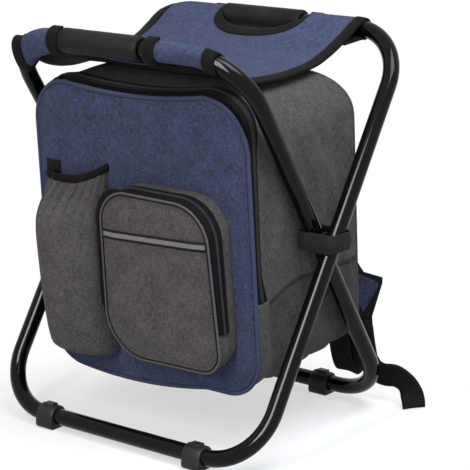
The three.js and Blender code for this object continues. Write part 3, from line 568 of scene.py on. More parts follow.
def heather_cloth(name, colour, kind="UV", contrast=0.6, weave=0.0011):
    """Melange cloth: mixed light and dark yarns both ways, in a plain weave with a soft nap."""
    cloth = new_finish(name, colour, 0.92, Sheen_Weight=0.03, Sheen_Roughness=0.6,
                       Specular_IOR_Level=0.04)
    where = coordinates(cloth, kind)
    warp = grain(cloth, coordinates(cloth, kind, (780, 130, 780)), 1.0, 3.0, 0.65)
    weft = grain(cloth, coordinates(cloth, kind, (170, 780, 170)), 1.0, 3.0, 0.65)
    yarns = calculate(cloth, "ADD", calculate(cloth, "MULTIPLY", warp, 0.5),
                      calculate(cloth, "MULTIPLY", weft, 0.5))
    mottle = calculate(cloth, "MULTIPLY", grain(cloth, where, 45.0, 3.0), 0.15)
    mixed = calculate(cloth, "ADD", calculate(cloth, "MULTIPLY", yarns, 0.85), mottle)
    colour_along(cloth, mixed, (0.36, scaled(colour, 1 - contrast)), (0.5, colour),
                 (0.64, scaled(colour, 1 + contrast)))
    over = bands(cloth, where, weave, "X")
    under = bands(cloth, where, weave, "Y")
    relief(cloth, calculate(cloth, "ADD", calculate(cloth, "MULTIPLY", over, under), mixed), 0.25, 0.55)
    return cloth


def black_tape(name, colour, pitch, depth):
    """Woven tape with ribs across it."""
    tape = new_finish(name, colour, 0.75, Sheen_Weight=0.02, Specular_IOR_Level=0.03)
    where = coordinates(tape, "UV")
    ribs = bands(tape, where, pitch, "Y")
    fibres = grain(tape, where, 900.0, 2.0)
    colour_along(tape, calculate(tape, "MULTIPLY", ribs, fibres),
                 (0.0, scaled(colour, 0.6)), (0.7, scaled(colour, 1.7)))
    relief(tape, calculate(tape, "ADD", ribs, fibres), depth, 0.6)
    return tape


def zip_coil_painted_highlight():
    """Fine zip coil: a painted highlight on the crest of each turn, and painted shade between the turns."""
    coil = new_finish("zip_coil_painted_highlight", (0.02, 0.02, 0.022), 0.45, Specular_IOR_Level=0.08)
    crest_highlight = bands(coil, coordinates(coil, "UV"), 0.0017, "Y")
    # Painted highlight on each crest and painted shade between the turns, over the coil's dark colour.
    colour_along(coil, crest_highlight, (0.25, (0.006, 0.006, 0.007)), (0.8, (0.045, 0.045, 0.05)))
    relief(coil, crest_highlight, 0.6, 0.9)
    return coil


def gloss_tube():
    """Black lacquered steel, with the faint ripple of sprayed paint."""
    tube = new_finish("gloss_tube", (0.003, 0.003, 0.0034), 0.08, IOR=1.23)
    where = coordinates(tube, "Object")
    roughness_along(tube, grain(tube, where, 60.0, 4.0), 0.06, 0.1)
    relief(tube, grain(tube, where, 260.0, 1.0), 0.05, 0.25)
    return tube


def foam_rubber():
    """Closed-cell foam: fine pores and a soft sheen."""
    foam = new_finish("foam_rubber", (0.011, 0.0104, 0.01), 0.62, Sheen_Weight=0.03,
                      Specular_IOR_Level=0.06)
    where = coordinates(foam, "Object")
    pores = grain(foam, where, 1500.0, 2.0)
    wear = grain(foam, where, 40.0, 3.0)
    colour_along(foam, wear, (0.35, (0.0075, 0.007, 0.0067)), (0.7, (0.0165, 0.0155, 0.0148)))
    relief(foam, calculate(foam, "ADD", pores, wear), 0.25, 0.5)
    return foam


def moulded_plastic(name, colour, low, high):
    """Moulded plastic with a fine spark-eroded grain."""
    plastic = new_finish(name, colour, mix(low, high, 0.5), Specular_IOR_Level=0.2)
    where = coordinates(plastic, "Object")
    cells = grain(plastic, where, 1400.0, 2.0)
    cloud = grain(plastic, where, 55.0, 3.0)
    colour_along(plastic, cloud, (0.3, scaled(colour, 0.8)), (0.7, scaled(colour, 1.25)))
    roughness_along(plastic, cloud, low, high)
    relief(plastic, cells, 0.06, 0.4)
    return plastic


def brushed_metal(name, colour):
    """Plated metal with fine wear."""
    metal = new_finish(name, colour, 0.35, Metallic=1.0)
    streaks = grain(metal, coordinates(metal, "Object", (400, 60, 60)), 6.0, 4.0)
    colour_along(metal, streaks, (0.3, scaled(colour, 0.75)), (0.7, scaled(colour, 1.1)))
    roughness_along(metal, streaks, 0.25, 0.45)
    relief(metal, streaks, 0.03, 0.3)
    return metal


def crinkled_foil():
    """Laminated foil with soft creases."""
    foil = new_finish("crinkled_foil", (0.62, 0.63, 0.64), 0.32, Metallic=0.85)
    where = coordinates(foil, "Object")
    creases = add_node(foil, "ShaderNodeTexVoronoi", {"Vector": where, "Scale": 55.0},
                       feature="DISTANCE_TO_EDGE").outputs[0]
    waves = grain(foil, where, 38.0, 4.0, 0.6)
    colour_along(foil, waves, (0.3, (0.5, 0.51, 0.52)), (0.7, (0.72, 0.73, 0.74)))
    roughness_along(foil, waves, 0.24, 0.42)
    relief(foil, calculate(foil, "ADD", creases, waves), 1.2, 0.6)
    return foil


def white_foam():
    """Sheet foam with open cells at its cut edges."""
    foam = new_finish("white_foam", (0.78, 0.78, 0.76), 0.9)
    where = coordinates(foam, "Object")
    cells = add_node(foam, "ShaderNodeTexVoronoi", {"Vector": where, "Scale": 420.0}).outputs[0]
    colour_along(foam, cells, (0.0, (0.62, 0.62, 0.6)), (0.6, (0.82, 0.82, 0.8)))
    relief(foam, cells, 0.5, 0.5)
    return foam


def stripe_tape():
    """Pale tape with a fine grain, between two black edges."""
    tape = new_finish("stripe_tape", (0.25, 0.24, 0.235), 0.55, Specular_IOR_Level=0.04)
    where = coordinates(tape, "UV")
    beads = grain(tape, where, 1300.0, 2.0)
    across = add_node(tape, "ShaderNodeSeparateXYZ", {"Vector": where}).outputs[1]
    edge = calculate(tape, "ABSOLUTE", calculate(tape, "SUBTRACT", across, STRIPE_W / 2 * MM), 0.0)
    band = calculate(tape, "GREATER_THAN", edge, STRIPE_PALE / 2 * MM)
    pale = shades(tape, beads, (0.3, (0.13, 0.126, 0.122)), (0.7, (0.24, 0.232, 0.225)))
    dark = shades(tape, beads, (0.3, (0.008, 0.008, 0.009)), (0.7, (0.018, 0.018, 0.02)))
    both = add_node(tape, "ShaderNodeMix", {0: band, 6: pale, 7: dark}, data_type="RGBA")
    feed(tape, "Base Color", both.outputs[2])
    relief(tape, beads, 0.08, 0.4)
    return tape


def sewing_thread():
    """Dark twisted thread."""
    thread = new_finish("dark_thread", (0.02, 0.021, 0.026), 0.7, Specular_IOR_Level=0.04)
    twist = bands(thread, coordinates(thread, "Object"), 0.0006, "DIAGONAL")
    colour_along(thread, twist, (0.2, (0.008, 0.008, 0.009)), (0.8, (0.018, 0.018, 0.02)))
    return thread


BLUE = (0.048, 0.0555, 0.106)
GREY = (0.0775, 0.0715, 0.0695)
blue_cloth = heather_cloth("blue_cloth", BLUE)
# The pads and their flap patches are the seat's blue cloth darkened to 0.6 as painted shade.
blue_pad_cloth_painted_shade = heather_cloth("blue_pad_cloth_painted_shade", scaled(BLUE, 0.6), "Object")
grey_cloth = heather_cloth("grey_cloth", GREY)
boot_cloth = heather_cloth("boot_cloth", scaled(GREY, 0.75))
welt_cloth = heather_cloth("welt_cloth", scaled(GREY, 0.4))
blue_piping = black_tape("blue_piping", (0.05, 0.059, 0.112), 0.0012, 0.12)
pale_piping = black_tape("pale_piping", (0.1, 0.096, 0.094), 0.0012, 0.12)
binding_tape = black_tape("binding_tape", (0.0075, 0.0074, 0.0078), 0.0014, 0.2)
lining_cloth = black_tape("lining_cloth", (0.0085, 0.0085, 0.009), 0.0011, 0.12)
cuff_tape = black_tape("cuff_tape", (0.02, 0.0195, 0.02), 0.0016, 0.25)
strap_webbing = black_tape("strap_webbing", (0.011, 0.011, 0.012), 0.0024, 0.4)
zip_tape = black_tape("zip_tape", (0.0065, 0.0065, 0.0072), 0.0009, 0.12)
coil_painted_highlight_finish = zip_coil_painted_highlight()
tube_finish = gloss_tube()
grip_finish = foam_rubber()
foot_plastic = moulded_plastic("foot_plastic", (0.011, 0.011, 0.0115), 0.35, 0.55)
buckle_plastic = moulded_plastic("buckle_plastic", (0.013, 0.013, 0.0135), 0.3, 0.45)
zinc_steel = brushed_metal("zinc_steel", (0.5, 0.5, 0.51))
gunmetal = brushed_metal("gunmetal", (0.16, 0.16, 0.165))
foil_finish = crinkled_foil()
foam_finish = white_foam()
stripe_finish = stripe_tape()
dark_thread = sewing_thread()


# Frame: tube loops, grips and feet


def ring_edges(verts):
    """The edges between the vertices of a ring."""
    ring = set(verts)
    return [edge for edge in edges_of(verts) if set(edge.verts) <= ring]


def pull_along(bm, edges, way):
    """Extrudes a ring of edges along a straight way."""
    verts = verts_of(bmesh.ops.extrude_edge_only(bm, edges=edges)["geom"])
    bmesh.ops.translate(bm, vec=way, verts=verts)
    return ring_edges(verts)


def turn_about(bm, edges, centre):
    """Spins a ring of edges a quarter turn to the right about a centre in the loop's plane."""
    verts = list(dict.fromkeys(vert for edge in edges for vert in edge.verts))
    spun = bmesh.ops.spin(bm, geom=verts + edges, cent=centre, axis=(0, 0, -1), angle=QUARTER,
                          steps=18, use_merge=False, use_duplicate=False)["geom_last"]
    return ring_edges(verts_of(spun))


def loop_plane(rear):
    """Takes a loop drawn flat, with Y up the legs, to its leaning plane through the pivots."""
    up = Vector((0, rear * LEAN_SIN, LEAN_COS))
    face = Vector((0, -LEAN_COS, rear * LEAN_SIN))
    turn = Matrix((Vector((1, 0, 0)), up, face)).transposed().to_4x4()
    return Matrix.Translation((0, 0, PIVOT_Z)) @ turn


def make_loop(name, leg_x, rear):
    """One tube loop, pulled from a circle along its bars and legs and spun round its four bends."""
    bm = bmesh.new()
    straight = leg_x - BEND_R
    high = TOP_REACH - BEND_R
    low = BOTTOM_REACH - BEND_R
    start = Matrix.Translation((0, TOP_REACH, 0)) @ Matrix.Rotation(QUARTER, 4, "Y")
    ring = bmesh.ops.create_circle(bm, segments=36, radius=TUBE_R, matrix=start)["verts"]
    edges = pull_along(bm, ring_edges(ring), (straight, 0, 0))
    for bend, way in (((straight, high, 0), (0, -high - low, 0)),
                      ((straight, -low, 0), (-2 * straight, 0, 0)),
                      ((-straight, -low, 0), (0, high + low, 0)),
                      ((-straight, high, 0), (straight, 0, 0))):
        edges = turn_about(bm, edges, bend)
        edges = pull_along(bm, edges, way)
    weld(bm)
    face_out(bm)
    bmesh.ops.transform(bm, matrix=loop_plane(rear), verts=bm.verts)
    set_down(bm, f"{name}_loop", tube_finish, f"{name}_frame", [f"{name}_frame_tube"])


def turned_sleeve(profile, steps):
    """A shape turned about the X axis from a profile of places along it and radii."""
    bm = bmesh.new()
    verts = [bm.verts.new((x, radius, 0)) for x, radius in profile]
    edges = [bm.edges.new(pair) for pair in zip(verts, verts[1:])]
    bmesh.ops.spin(bm, geom=verts + edges, cent=(0, 0, 0), axis=(1, 0, 0), angle=TURN, steps=steps,
                   use_merge=True, use_duplicate=False)
    weld(bm)
    face_out(bm)
    return bm


def make_grip(name, ends, rear, body):
    """A foam grip on a top bar, with round ends and a slightly uneven skin."""
    start, end = ends
    inset = GRIP_END[-1][0]
    steps = 24
    profile = [(start + x, radius) for x, radius in GRIP_END]
    for i in range(1, steps):
        x = mix(start + inset, end - inset, i / steps)
        profile.append((x, GRIP_R + 0.12 * ripple(x * 0.09, rear * 5.0, 0)))
    profile += [(end - x, radius) for x, radius in reversed(GRIP_END)]
    bm = turned_sleeve(profile, 40)
    bmesh.ops.translate(bm, vec=(0, rear * TOP_SPREAD, TOP_BAR_Z), verts=bm.verts)
    set_down(bm, f"{name}_sleeve", grip_finish, body, [name])


def make_foot(name, x, y, body):
    """A clip foot: a shoe drawn from a circle round the bar, flat below, with a raised lip on top."""
    bm = bmesh.new()
    turn = Matrix.Translation((-FOOT_W / 2, 0, BOTTOM_BAR_Z)) @ Matrix.Rotation(QUARTER, 4, "Y")
    ring = bmesh.ops.create_circle(bm, cap_ends=True, segments=40, radius=FOOT_R, matrix=turn)["verts"]
    for vert in ring:
        if vert.co.z < BOTTOM_BAR_Z:
            depth = ease((BOTTOM_BAR_Z - vert.co.z) / 9)
            vert.co.y = vert.co.y * mix(1.0, 1.16, depth) + math.copysign(2.2 * depth, vert.co.y)
            vert.co.y = clamp(vert.co.y, -FOOT_HALF_D, FOOT_HALF_D)
            vert.co.z = max(vert.co.z - 3.0 * depth, 0.0)
    far = verts_of(bmesh.ops.extrude_face_region(bm, geom=bm.faces[:])["geom"])
    bmesh.ops.translate(bm, vec=(FOOT_W, 0, 0), verts=far)
    ends = [edge for edge in bm.edges if edge.calc_face_angle(0) > 1.0 and edge.calc_length() < 8]
    round_edges(bm, ends, 1.4)
    round_block(bm, FOOT_LIP, (0, 0, BOTTOM_BAR_Z + FOOT_LIP_RISE), 1.1)
    face_out(bm)
    bmesh.ops.translate(bm, vec=(x, y, 0), verts=bm.verts)
    set_down(bm, f"{name}_shoe", foot_plastic, body, [name], sharp=50)


make_loop("outer", OUTER_LEG_X, REAR)
make_loop("inner", INNER_LEG_X, FRONT)
make_grip("front_grip", FRONT_GRIP, FRONT, "inner_frame")
make_grip("rear_grip", REAR_GRIP, REAR, "outer_frame")
for bar, foot_x, foot_y, foot_body in (("front", FRONT_FOOT_X, -BOTTOM_SPREAD, "outer_frame"),
                                       ("rear", REAR_FOOT_X, BOTTOM_SPREAD, "inner_frame")):
    for side, sign in SIDES:
        make_foot(f"{bar}_foot_{side}", sign * foot_x, foot_y, foot_body)


# Seat cloth: one sheet that hangs between the bars and is sewn back under itself round each of them


def bar_frame(x, leg_x, rear):
    """The centre of a top bar at x, with its up and outward directions, round the bends too."""
    past = min(max(0.0, abs(x) - (leg_x - BEND_R)) / BEND_R, HEM_BEND)
    rise = math.sqrt(1 - past * past)
    reach = TOP_REACH - BEND_R + BEND_R * rise
    face = Vector((0, -LEAN_COS, rear * LEAN_SIN))
    away = Vector((0, rear * LEAN_SIN, LEAN_COS)) / rise
    centre = Vector((x, rear * reach * LEAN_SIN, PIVOT_Z + reach * LEAN_COS))
    up = away * LEAN_COS + face * rear * LEAN_SIN
    out = (away * rear * LEAN_SIN - face * LEAN_COS) * rear
    return centre, up, out


def front_bar(u):
    return bar_frame(mix(FRONT_HEMS[0][0], FRONT_HEMS[1][1], u), INNER_LEG_X, FRONT)


def rear_bar(u):
    return bar_frame(mix(REAR_HEMS[0][0], REAR_HEMS[1][1], u), OUTER_LEG_X, REAR)


seat_side = Route(SEAT_SIDE)


def seat_sag(v):
    """How far the seat hangs below the tops of the bars, from the front bar to the rear one."""
    share = seat_side.share_before(mix(-TOP_SPREAD, TOP_SPREAD, v))
    return SEAT_SIDE[0][1] - seat_side.at(share).y


sag_table = Table(seat_sag, 200)


def seat_top(u, v):
    """The upper face of the seat: u from left to right, v from the front bar to the rear bar."""
    centre, up, _ = front_bar(u)
    front = centre + up * HEM_R
    centre, up, _ = rear_bar(u)
    rear = centre + up * HEM_R
    inner = ease(min(u, 1 - u) / EDGE_SHARE)
    wave = SEAT_WAVE * ripple(u * 5, v * 4, 3.0) * ease(v / EDGE_SHARE) * ease((1 - v) / EDGE_SHARE)
    return front.lerp(rear, v) - Vector((0, 0, sag_table.at(v) * mix(EDGE_DROOP, 1.0, inner) - wave))


def hem_place(x, hems):
    return (x - hems[0][0]) / (hems[1][1] - hems[0][0])


HEM_STEPS = (10, 4, 30, 4, 12)
HEM_MARKS = (0.0, hem_place(FRONT_HEMS[0][1], FRONT_HEMS), hem_place(REAR_HEMS[0][1], REAR_HEMS),
             hem_place(FRONT_HEMS[1][0], FRONT_HEMS), hem_place(REAR_HEMS[1][0], REAR_HEMS), 1.0)


def hem_wrap(u, w, bar, rear):
    """The hem round a bar, from its top at w 0 over the outside to the seam under the seat at w 1."""
    centre, up, out = bar(u)
    turn = QUARTER - HEM_TURN * min(w / HEM_ROUND, 1.0)
    loose = LOOSE_HEM * ease((HEM_MARKS[1] - u) / 0.1) if rear == FRONT else 0.0
    hang = HEM_R * (1 + loose * max(0.0, -math.sin(turn)))
    ring = centre + out * math.cos(turn) * HEM_R + up * math.sin(turn) * hang
    if w <= HEM_ROUND:
        return ring
    seam_v = FRONT_SEAM / (2 * TOP_SPREAD) if rear == FRONT else 1 - REAR_SEAM / (2 * TOP_SPREAD)
    seam = seat_top(u, seam_v) - Vector((0, 0, SEAM_UNDER))
    return ring.lerp(seam, (w - HEM_ROUND) / (1 - HEM_ROUND))


def seat_column(share):
    """Spreads the columns of the sheet so that the hem ends fall on columns."""
    place = share * sum(HEM_STEPS)
    for i, steps in enumerate(HEM_STEPS):
        if place <= steps or i == len(HEM_STEPS) - 1:
            return mix(HEM_MARKS[i], HEM_MARKS[i + 1], place / steps)
        place -= steps


def cutout(u, start, end):
    """How deep a grip's cut-out goes into the seat, as a share of its length."""
    half = (end - start) / 2
    off = (u - start - half) / half
    if abs(off) >= 1:
        return 0.0
    return CUTOUT / (2 * TOP_SPREAD) * math.sqrt(1 - off * off)


def front_cut(u):
    return cutout(u, HEM_MARKS[1], HEM_MARKS[3])


def rear_cut(u):
    return cutout(u, HEM_MARKS[2], HEM_MARKS[4])


def make_seat():
    bm = bmesh.new()
    columns = sum(HEM_STEPS)
    first, second, _, third, last = HEM_STEPS

    def main(s, t):
        u = seat_column(s)
        return seat_top(u, mix(front_cut(u), 1 - rear_cut(u), t))

    lay_sheet(bm, columns, 48, main, (SEAT_WIDTH, SEAT_LENGTH))
    for start, count, bar, rear in (
            (0, first, front_bar, FRONT), (columns - third - last, third + last, front_bar, FRONT),
            (0, first + second, rear_bar, REAR), (columns - last, last, rear_bar, REAR)):
        def wrap(s, t):
            u = seat_column((start + s * count) / columns)
            return hem_wrap(u, t if rear == REAR else 1 - t, bar, rear)

        lay_sheet(bm, count, 20, wrap, (SEAT_WIDTH * count / columns, HEM_LENGTH))
    weld(bm, 0.05)
    return set_down(bm, "seat_cloth", blue_cloth, None,
                    ["seat_sling", "front_hem_left", "front_hem_right", "rear_hem_left", "rear_hem_right"],
                    wall=SEAT_T)


def make_seat_lining():
    """The coated black back of the seat cloth."""
    bm = bmesh.new()

    def under(s, t):
        u = mix(0.004, 0.996, seat_column(s))
        return stand_off(seat_top, u, mix(front_cut(u) + 0.006, 0.994 - rear_cut(u), t), -SEAT_T - 0.3)

    lay_sheet(bm, sum(HEM_STEPS), 48, under, (SEAT_WIDTH, SEAT_LENGTH))
    return set_down(bm, "seat_lining", lining_cloth, None, wall=0.5)


def seat_lap(u, s):
    """The seat as s goes from 0 to 1: from the front seam under it, over its top, to the rear seam."""
    wrap = 0.2
    if s < wrap:
        return hem_wrap(u, 1 - s / wrap, front_bar, FRONT)
    if s > 1 - wrap:
        return hem_wrap(u, 1 - (1 - s) / wrap, rear_bar, REAR)
    return seat_top(u, (s - wrap) / (1 - 2 * wrap))


def make_seat_bindings():
    """Black tape over every raw edge of the seat cloth."""
    bm = bmesh.new()
    past = 0.004
    lift = 0.8
    for near, far in ((-past, 0.052), (0.958, 1 + past)):
        def edge(a, b):
            return stand_off(seat_lap, mix(near, far, a), mix(0.004, 0.996, b), lift)

        lay_sheet(bm, 4, 110, edge, (11, 420))
    for mark, side, bar, rear in (
            (HEM_MARKS[1], -1, front_bar, FRONT), (HEM_MARKS[3], 1, front_bar, FRONT),
            (HEM_MARKS[2], -1, rear_bar, REAR), (HEM_MARKS[4], 1, rear_bar, REAR)):
        ends = sorted((mark - side * past, mark + side * 0.045))

        def ring(a, b):
            return hem_wrap(mix(ends[0], ends[1], a), b, bar, rear)

        lay_sheet(bm, 4, 34, lambda a, b: stand_off(ring, a, mix(0.004, 0.99, b), lift * rear),
                  (12, HEM_LENGTH))
    for cut, start, end, tape, rear in ((front_cut, HEM_MARKS[1], HEM_MARKS[3], 0.038, FRONT),
                                        (rear_cut, HEM_MARKS[2], HEM_MARKS[4], 0.05, REAR)):
        def lip(a, b):
            u = mix(start, end, 0.5 + 0.5 * math.cos(math.pi * (1 - b)))
            depth = cut(u) + mix(-0.006, tape, a)
            return seat_top(u, depth if rear == FRONT else 1 - depth)

        lay_sheet(bm, 4, 60, lambda a, b: stand_off(lip, a, mix(0.02, 0.98, b), lift * rear), (10, 150))
    return set_down(bm, "seat_binding", binding_tape, None, wall=2.6)


seat_cloth = make_seat()
seat_lining = make_seat_lining()
seat_binding = make_seat_bindings()
for piece in (seat_cloth, seat_lining, seat_binding):
    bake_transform(piece)


# Bag shell: sides, boot, back, mouth binding and foil liner


def back_reach(z):
    """How far back the bag goes at a height: it is round at the top and at the bottom of the back."""
    if z > BAG_TOP - BACK_TOP_R:
        over = min(z - BAG_TOP + BACK_TOP_R, BACK_TOP_R)
        return BAG_BACK - BACK_TOP_R + math.sqrt(BACK_TOP_R ** 2 - over ** 2)
    if z < BAG_BOTTOM + BACK_BOTTOM_R:
        under = min(BAG_BOTTOM + BACK_BOTTOM_R - z, BACK_BOTTOM_R)
        return BAG_BACK - BACK_BOTTOM_R + math.sqrt(BACK_BOTTOM_R ** 2 - under ** 2)
    return BAG_BACK


def slack(x, y, z):
    """How far the slack cloth stands out from the foam, in soft upright folds."""
    lean = y + 0.25 * z
    fold = 1.2 * ripple(lean * 0.045, z * 0.011, math.copysign(7.0, x))
    fold += 0.5 * ripple(lean * 0.1 + 4.0, z * 0.025, math.copysign(3.0, x))
    fade = ease((y - BAG_FRONT - 12) / 30) * ease((back_reach(z) - y) / 25) * ease((140 - z) / 40)
    return clamp(1.8 + 4.2 * fold, 0.0, MOST_SLACK) * fade


boot_seam = Route(BOOT_SEAM)


def boot_share(u):
    """The share of the bag's outline at which the boot seam crosses the right side, from front to back."""
    along = boot_seam.share_before(mix(BAG_FRONT, BAG_BACK, u))
    return BAG_OUTLINE.rising(boot_seam.at(along).y)


boot_top = Table(boot_share, 40).at


def side_section(u, share):
    spot = BAG_OUTLINE.at(share)
    y = mix(BAG_FRONT, back_reach(spot.y), u)
    return slack(spot.x, y, spot.y), y, 0.0


def back_section(u, share):
    """The back panel, from its middle out to the edge that the round back leaves."""
    room = mix(BACK_LOW_INSET, BACK_INSET, ease((BAG_OUTLINE.at(share).y + 105) / 80))
    flat = 0.4
    inset = room
    inward = 1 - u / flat
    if u >= flat:
        inset = room * (1 - math.sin(QUARTER * (u - flat) / (1 - flat)))
        inward = 0.0
    spot = BAG_OUTLINE.at(share, -inset, inward)
    return -inset, back_reach(spot.y), inward


def make_bag_shell():
    depth = BAG_BACK - BAG_FRONT
    bm = bmesh.new()
    run_round(bm, BAG_OUTLINE, side_section, 56, 200, depth, lambda u: (boot_top(u), 1 - boot_top(u)))
    set_down(bm, "bag_sides", grey_cloth, "bag", ["bag_gusset"], wall=CLOTH_T)
    bm = bmesh.new()
    run_round(bm, BAG_OUTLINE, side_section, 56, 130, depth, lambda u: (-boot_top(u), boot_top(u)))
    set_down(bm, "boot_sides", boot_cloth, "bag", ["bag_boot"], wall=CLOTH_T)
    bm = bmesh.new()
    run_round(bm, BAG_OUTLINE, back_section, 40, 200, depth)
    weld(bm)
    turn_over(bm)
    flat_threads(bm)
    set_down(bm, "bag_back", grey_cloth, "bag", ["bag_back_panel"], wall=CLOTH_T)


def make_seam_cord(name, radius, path_y, finish, body, out=0.0, start=0.0, end=1.0, replaces=(),
                   outline=BAG_OUTLINE, along=240):
    """A round cord along an outline of the bag, at a depth given for each share."""
    bm = bmesh.new()

    def section(u, share):
        turn = TURN * u
        return out + radius * math.cos(turn), path_y(share) + radius * math.sin(turn), 0.0

    run_round(bm, outline, section, 12, along, TURN * radius, lambda u: (start, end))
    weld(bm)
    if end - start < 1.0:
        bmesh.ops.holes_fill(bm, edges=bm.edges)
    return set_down(bm, name, finish, body, replaces)


def make_bag_seams():
    make_seam_cord("back_seam", 1.4, lambda share: back_reach(BAG_OUTLINE.at(share).y), grey_cloth,
                   "bag", -0.4)
    half_w = 2.4
    bm = bmesh.new()
    for _, sign in reversed(SIDES):
        def welt(a, b):
            y = mix(BAG_FRONT + 17, BAG_BACK - 1, b)
            middle = boot_top((y - BAG_FRONT) / (BAG_BACK - BAG_FRONT))
            spot = BAG_OUTLINE.at(middle + mix(-half_w, half_w, a) / BAG_OUTLINE.length)
            out = slack(sign * spot.x, y, spot.y) + 0.9 * math.sin(math.pi * a) ** 0.7
            return bag_point(sign * (spot.x + out), y, spot.y)

        verts = lay_sheet(bm, 6, 60, welt, (2 * half_w, BAG_BACK - BAG_FRONT))
        if sign == 1:
            bmesh.ops.reverse_faces(bm, faces=list({face for vert in verts for face in vert.link_faces}))
    set_down(bm, "boot_welt", welt_cloth, "bag", wall=0.8)


def liner_section(u, share):
    """The foil liner, from the mouth along the sides, round a bend and over the back to its middle."""
    side, bend = 0.55, 0.2
    if u < side:
        spot = BAG_OUTLINE.at(share, -LINER_INSET)
        crease = abs(0.8 * ripple(spot.x * 0.05, u * 9, spot.y * 0.05))
        reach = back_reach(spot.y) - LINER_INSET
        return -LINER_INSET - LINER_GAP - crease, mix(BAG_FRONT, reach, u / side), 0.0
    turn = QUARTER * min((u - side) / bend, 1.0)
    inset = LINER_INSET + LINER_GAP + (BACK_TOP_R - LINER_INSET) * (1 - math.cos(turn))
    inward = max(0.0, (u - side - bend) / (1 - side - bend))
    spot = BAG_OUTLINE.at(share, -inset, inward)
    return -inset, back_reach(spot.y) - LINER_INSET, inward


def make_liner():
    """The foil liner, and the black tape that binds the mouth of the bag."""
    bm = bmesh.new()
    run_round(bm, BAG_OUTLINE, liner_section, 50, 160, 330)
    weld(bm)
    turn_over(bm)
    set_down(bm, "liner_shell", foil_finish, "bag", ["foil_liner"])
    bm = bmesh.new()
    run_round(bm, BAG_OUTLINE, lambda u, share: (mix(-9.2, 0.2, u), BAG_FRONT - 0.1, 0.0), 4, 200, 10)
    weld(bm)
    set_down(bm, "mouth_binding", binding_tape, "bag", wall=1.0)


def make_top_foam():
    """The foam under the top of the bag, round its corners and the top of its back."""
    bm = bmesh.new()
    flat = 0.6

    def section(u, share):
        turn = QUARTER * max(0.0, (u - flat) / (1 - flat))
        inset = FOAM_INSET + (BACK_INSET - FOAM_INSET) * (1 - math.cos(turn))
        reach = back_reach(BAG_OUTLINE.at(share, -inset).y + FOAM_INSET) - FOAM_INSET
        return -inset, mix(BAG_FRONT + 0.3, reach, min(u / flat, 1.0)), 0.0

    start = BAG_OUTLINE.rising(FOAM_FROM_Z)
    run_round(bm, BAG_OUTLINE, section, 40, 120, 230, lambda u: (start, 1 - start))
    set_down(bm, "top_foam", foam_finish, "bag", ["insulation_top"], wall=FOAM_T)


make_bag_shell()
make_bag_seams()
make_liner()
make_top_foam()


# Door: padded panel, piping, main zip and the gusset that hinges it


def panel_face(depth):
    """The front of a sewn panel: a round edge, a stitched groove, then a soft crown to the middle."""
    marks = ((0.0, 1.0, 14, -0.9), (0.3, 0.35, 14, -0.7), (0.5, 0.0, 14, -0.4), (0.62, 0.0, 8, -0.15),
             (0.72, 0.0, 5.2, 0.35), (0.8, 0.0, 3.8, 1.0), (0.86, 0.0, 2.6, 0.45), (0.92, 0.0, 1.0, 0.3),
             (0.96, 0.0, 0.0, 1.4), (1.0, 0.0, 0.0, depth))

    def section(u):
        for (a, in_a, inset_a, y_a), (b, in_b, inset_b, y_b) in zip(marks, marks[1:]):
            if u <= b:
                part = (u - a) / (b - a)
                return -mix(inset_a, inset_b, part), mix(y_a, y_b, part), mix(in_a, in_b, part)
        return 0.0, depth, 0.0

    return section


def hinge_room(share):
    """How far the layers behind the panel stop short of its sagging bottom edge, clear of the hinge."""
    return HINGE_ROOM * ease((-90 - PANEL_OUTLINE.at(share).y) / 45)


def make_door():
    face = panel_face(4.7)

    def panel(u, share):
        out, y, inward = face(u)
        spot = PANEL_OUTLINE.at(share, out, inward)
        pucker = 0.9 * ripple(spot.x * 0.028, spot.y * 0.024, 1.0)
        pucker += 0.3 * ripple(spot.x * 0.07, spot.y * 0.06, 4.0)
        return out, PANEL_Y + y + pucker * ease((u - 0.02) / 0.2) * ease((0.7 - u) / 0.1), inward

    bm = bmesh.new()
    run_round(bm, PANEL_OUTLINE, panel, 50, 240, 150)
    weld(bm)
    flat_threads(bm)
    set_down(bm, "door_panel", blue_cloth, "front_flap", ["front_panel"])
    make_seam_cord("door_piping", PIPING_R, lambda share: PANEL_Y + PIPING_R, blue_piping, "front_flap",
                   PIPING_R + 0.1, replaces=["front_piping"], outline=PANEL_OUTLINE, along=280)

    def liner(u, share):
        quilt = 0.25 * ripple(u * 20, share * 60, 2.0)
        return -0.4 - hinge_room(share), BAG_FRONT - 0.9 + quilt, 1 - u

    bm = bmesh.new()
    run_round(bm, PANEL_OUTLINE, liner, 30, 160, 150)
    weld(bm)
    turn_over(bm)
    flat_threads(bm)
    set_down(bm, "door_liner", foil_finish, "front_flap", ["front_liner"])

    def foam(u, share):
        return -2.5 - hinge_room(share), PANEL_Y + 2.4, 1 - u

    bm = bmesh.new()
    run_round(bm, PANEL_OUTLINE, foam, 20, 160, 150)
    weld(bm)
    set_down(bm, "door_foam", foam_finish, "front_flap", ["insulation_front"], wall=DOOR_FOAM_T)


def zip_depth(y, share):
    """The depth of a line of the main zip, which the side cloth laps over on the right."""
    spot = BAG_OUTLINE.at(share)
    lapped = ease((spot.y - ZIP_RIGHT_END_Z) / 60 + 0.35) * ease((150 - spot.y) / 50) if spot.x > 0 else 0.0
    return ZIP_FRONT_Y + (y - ZIP_FRONT_Y) * mix(1.0, 0.45, lapped)


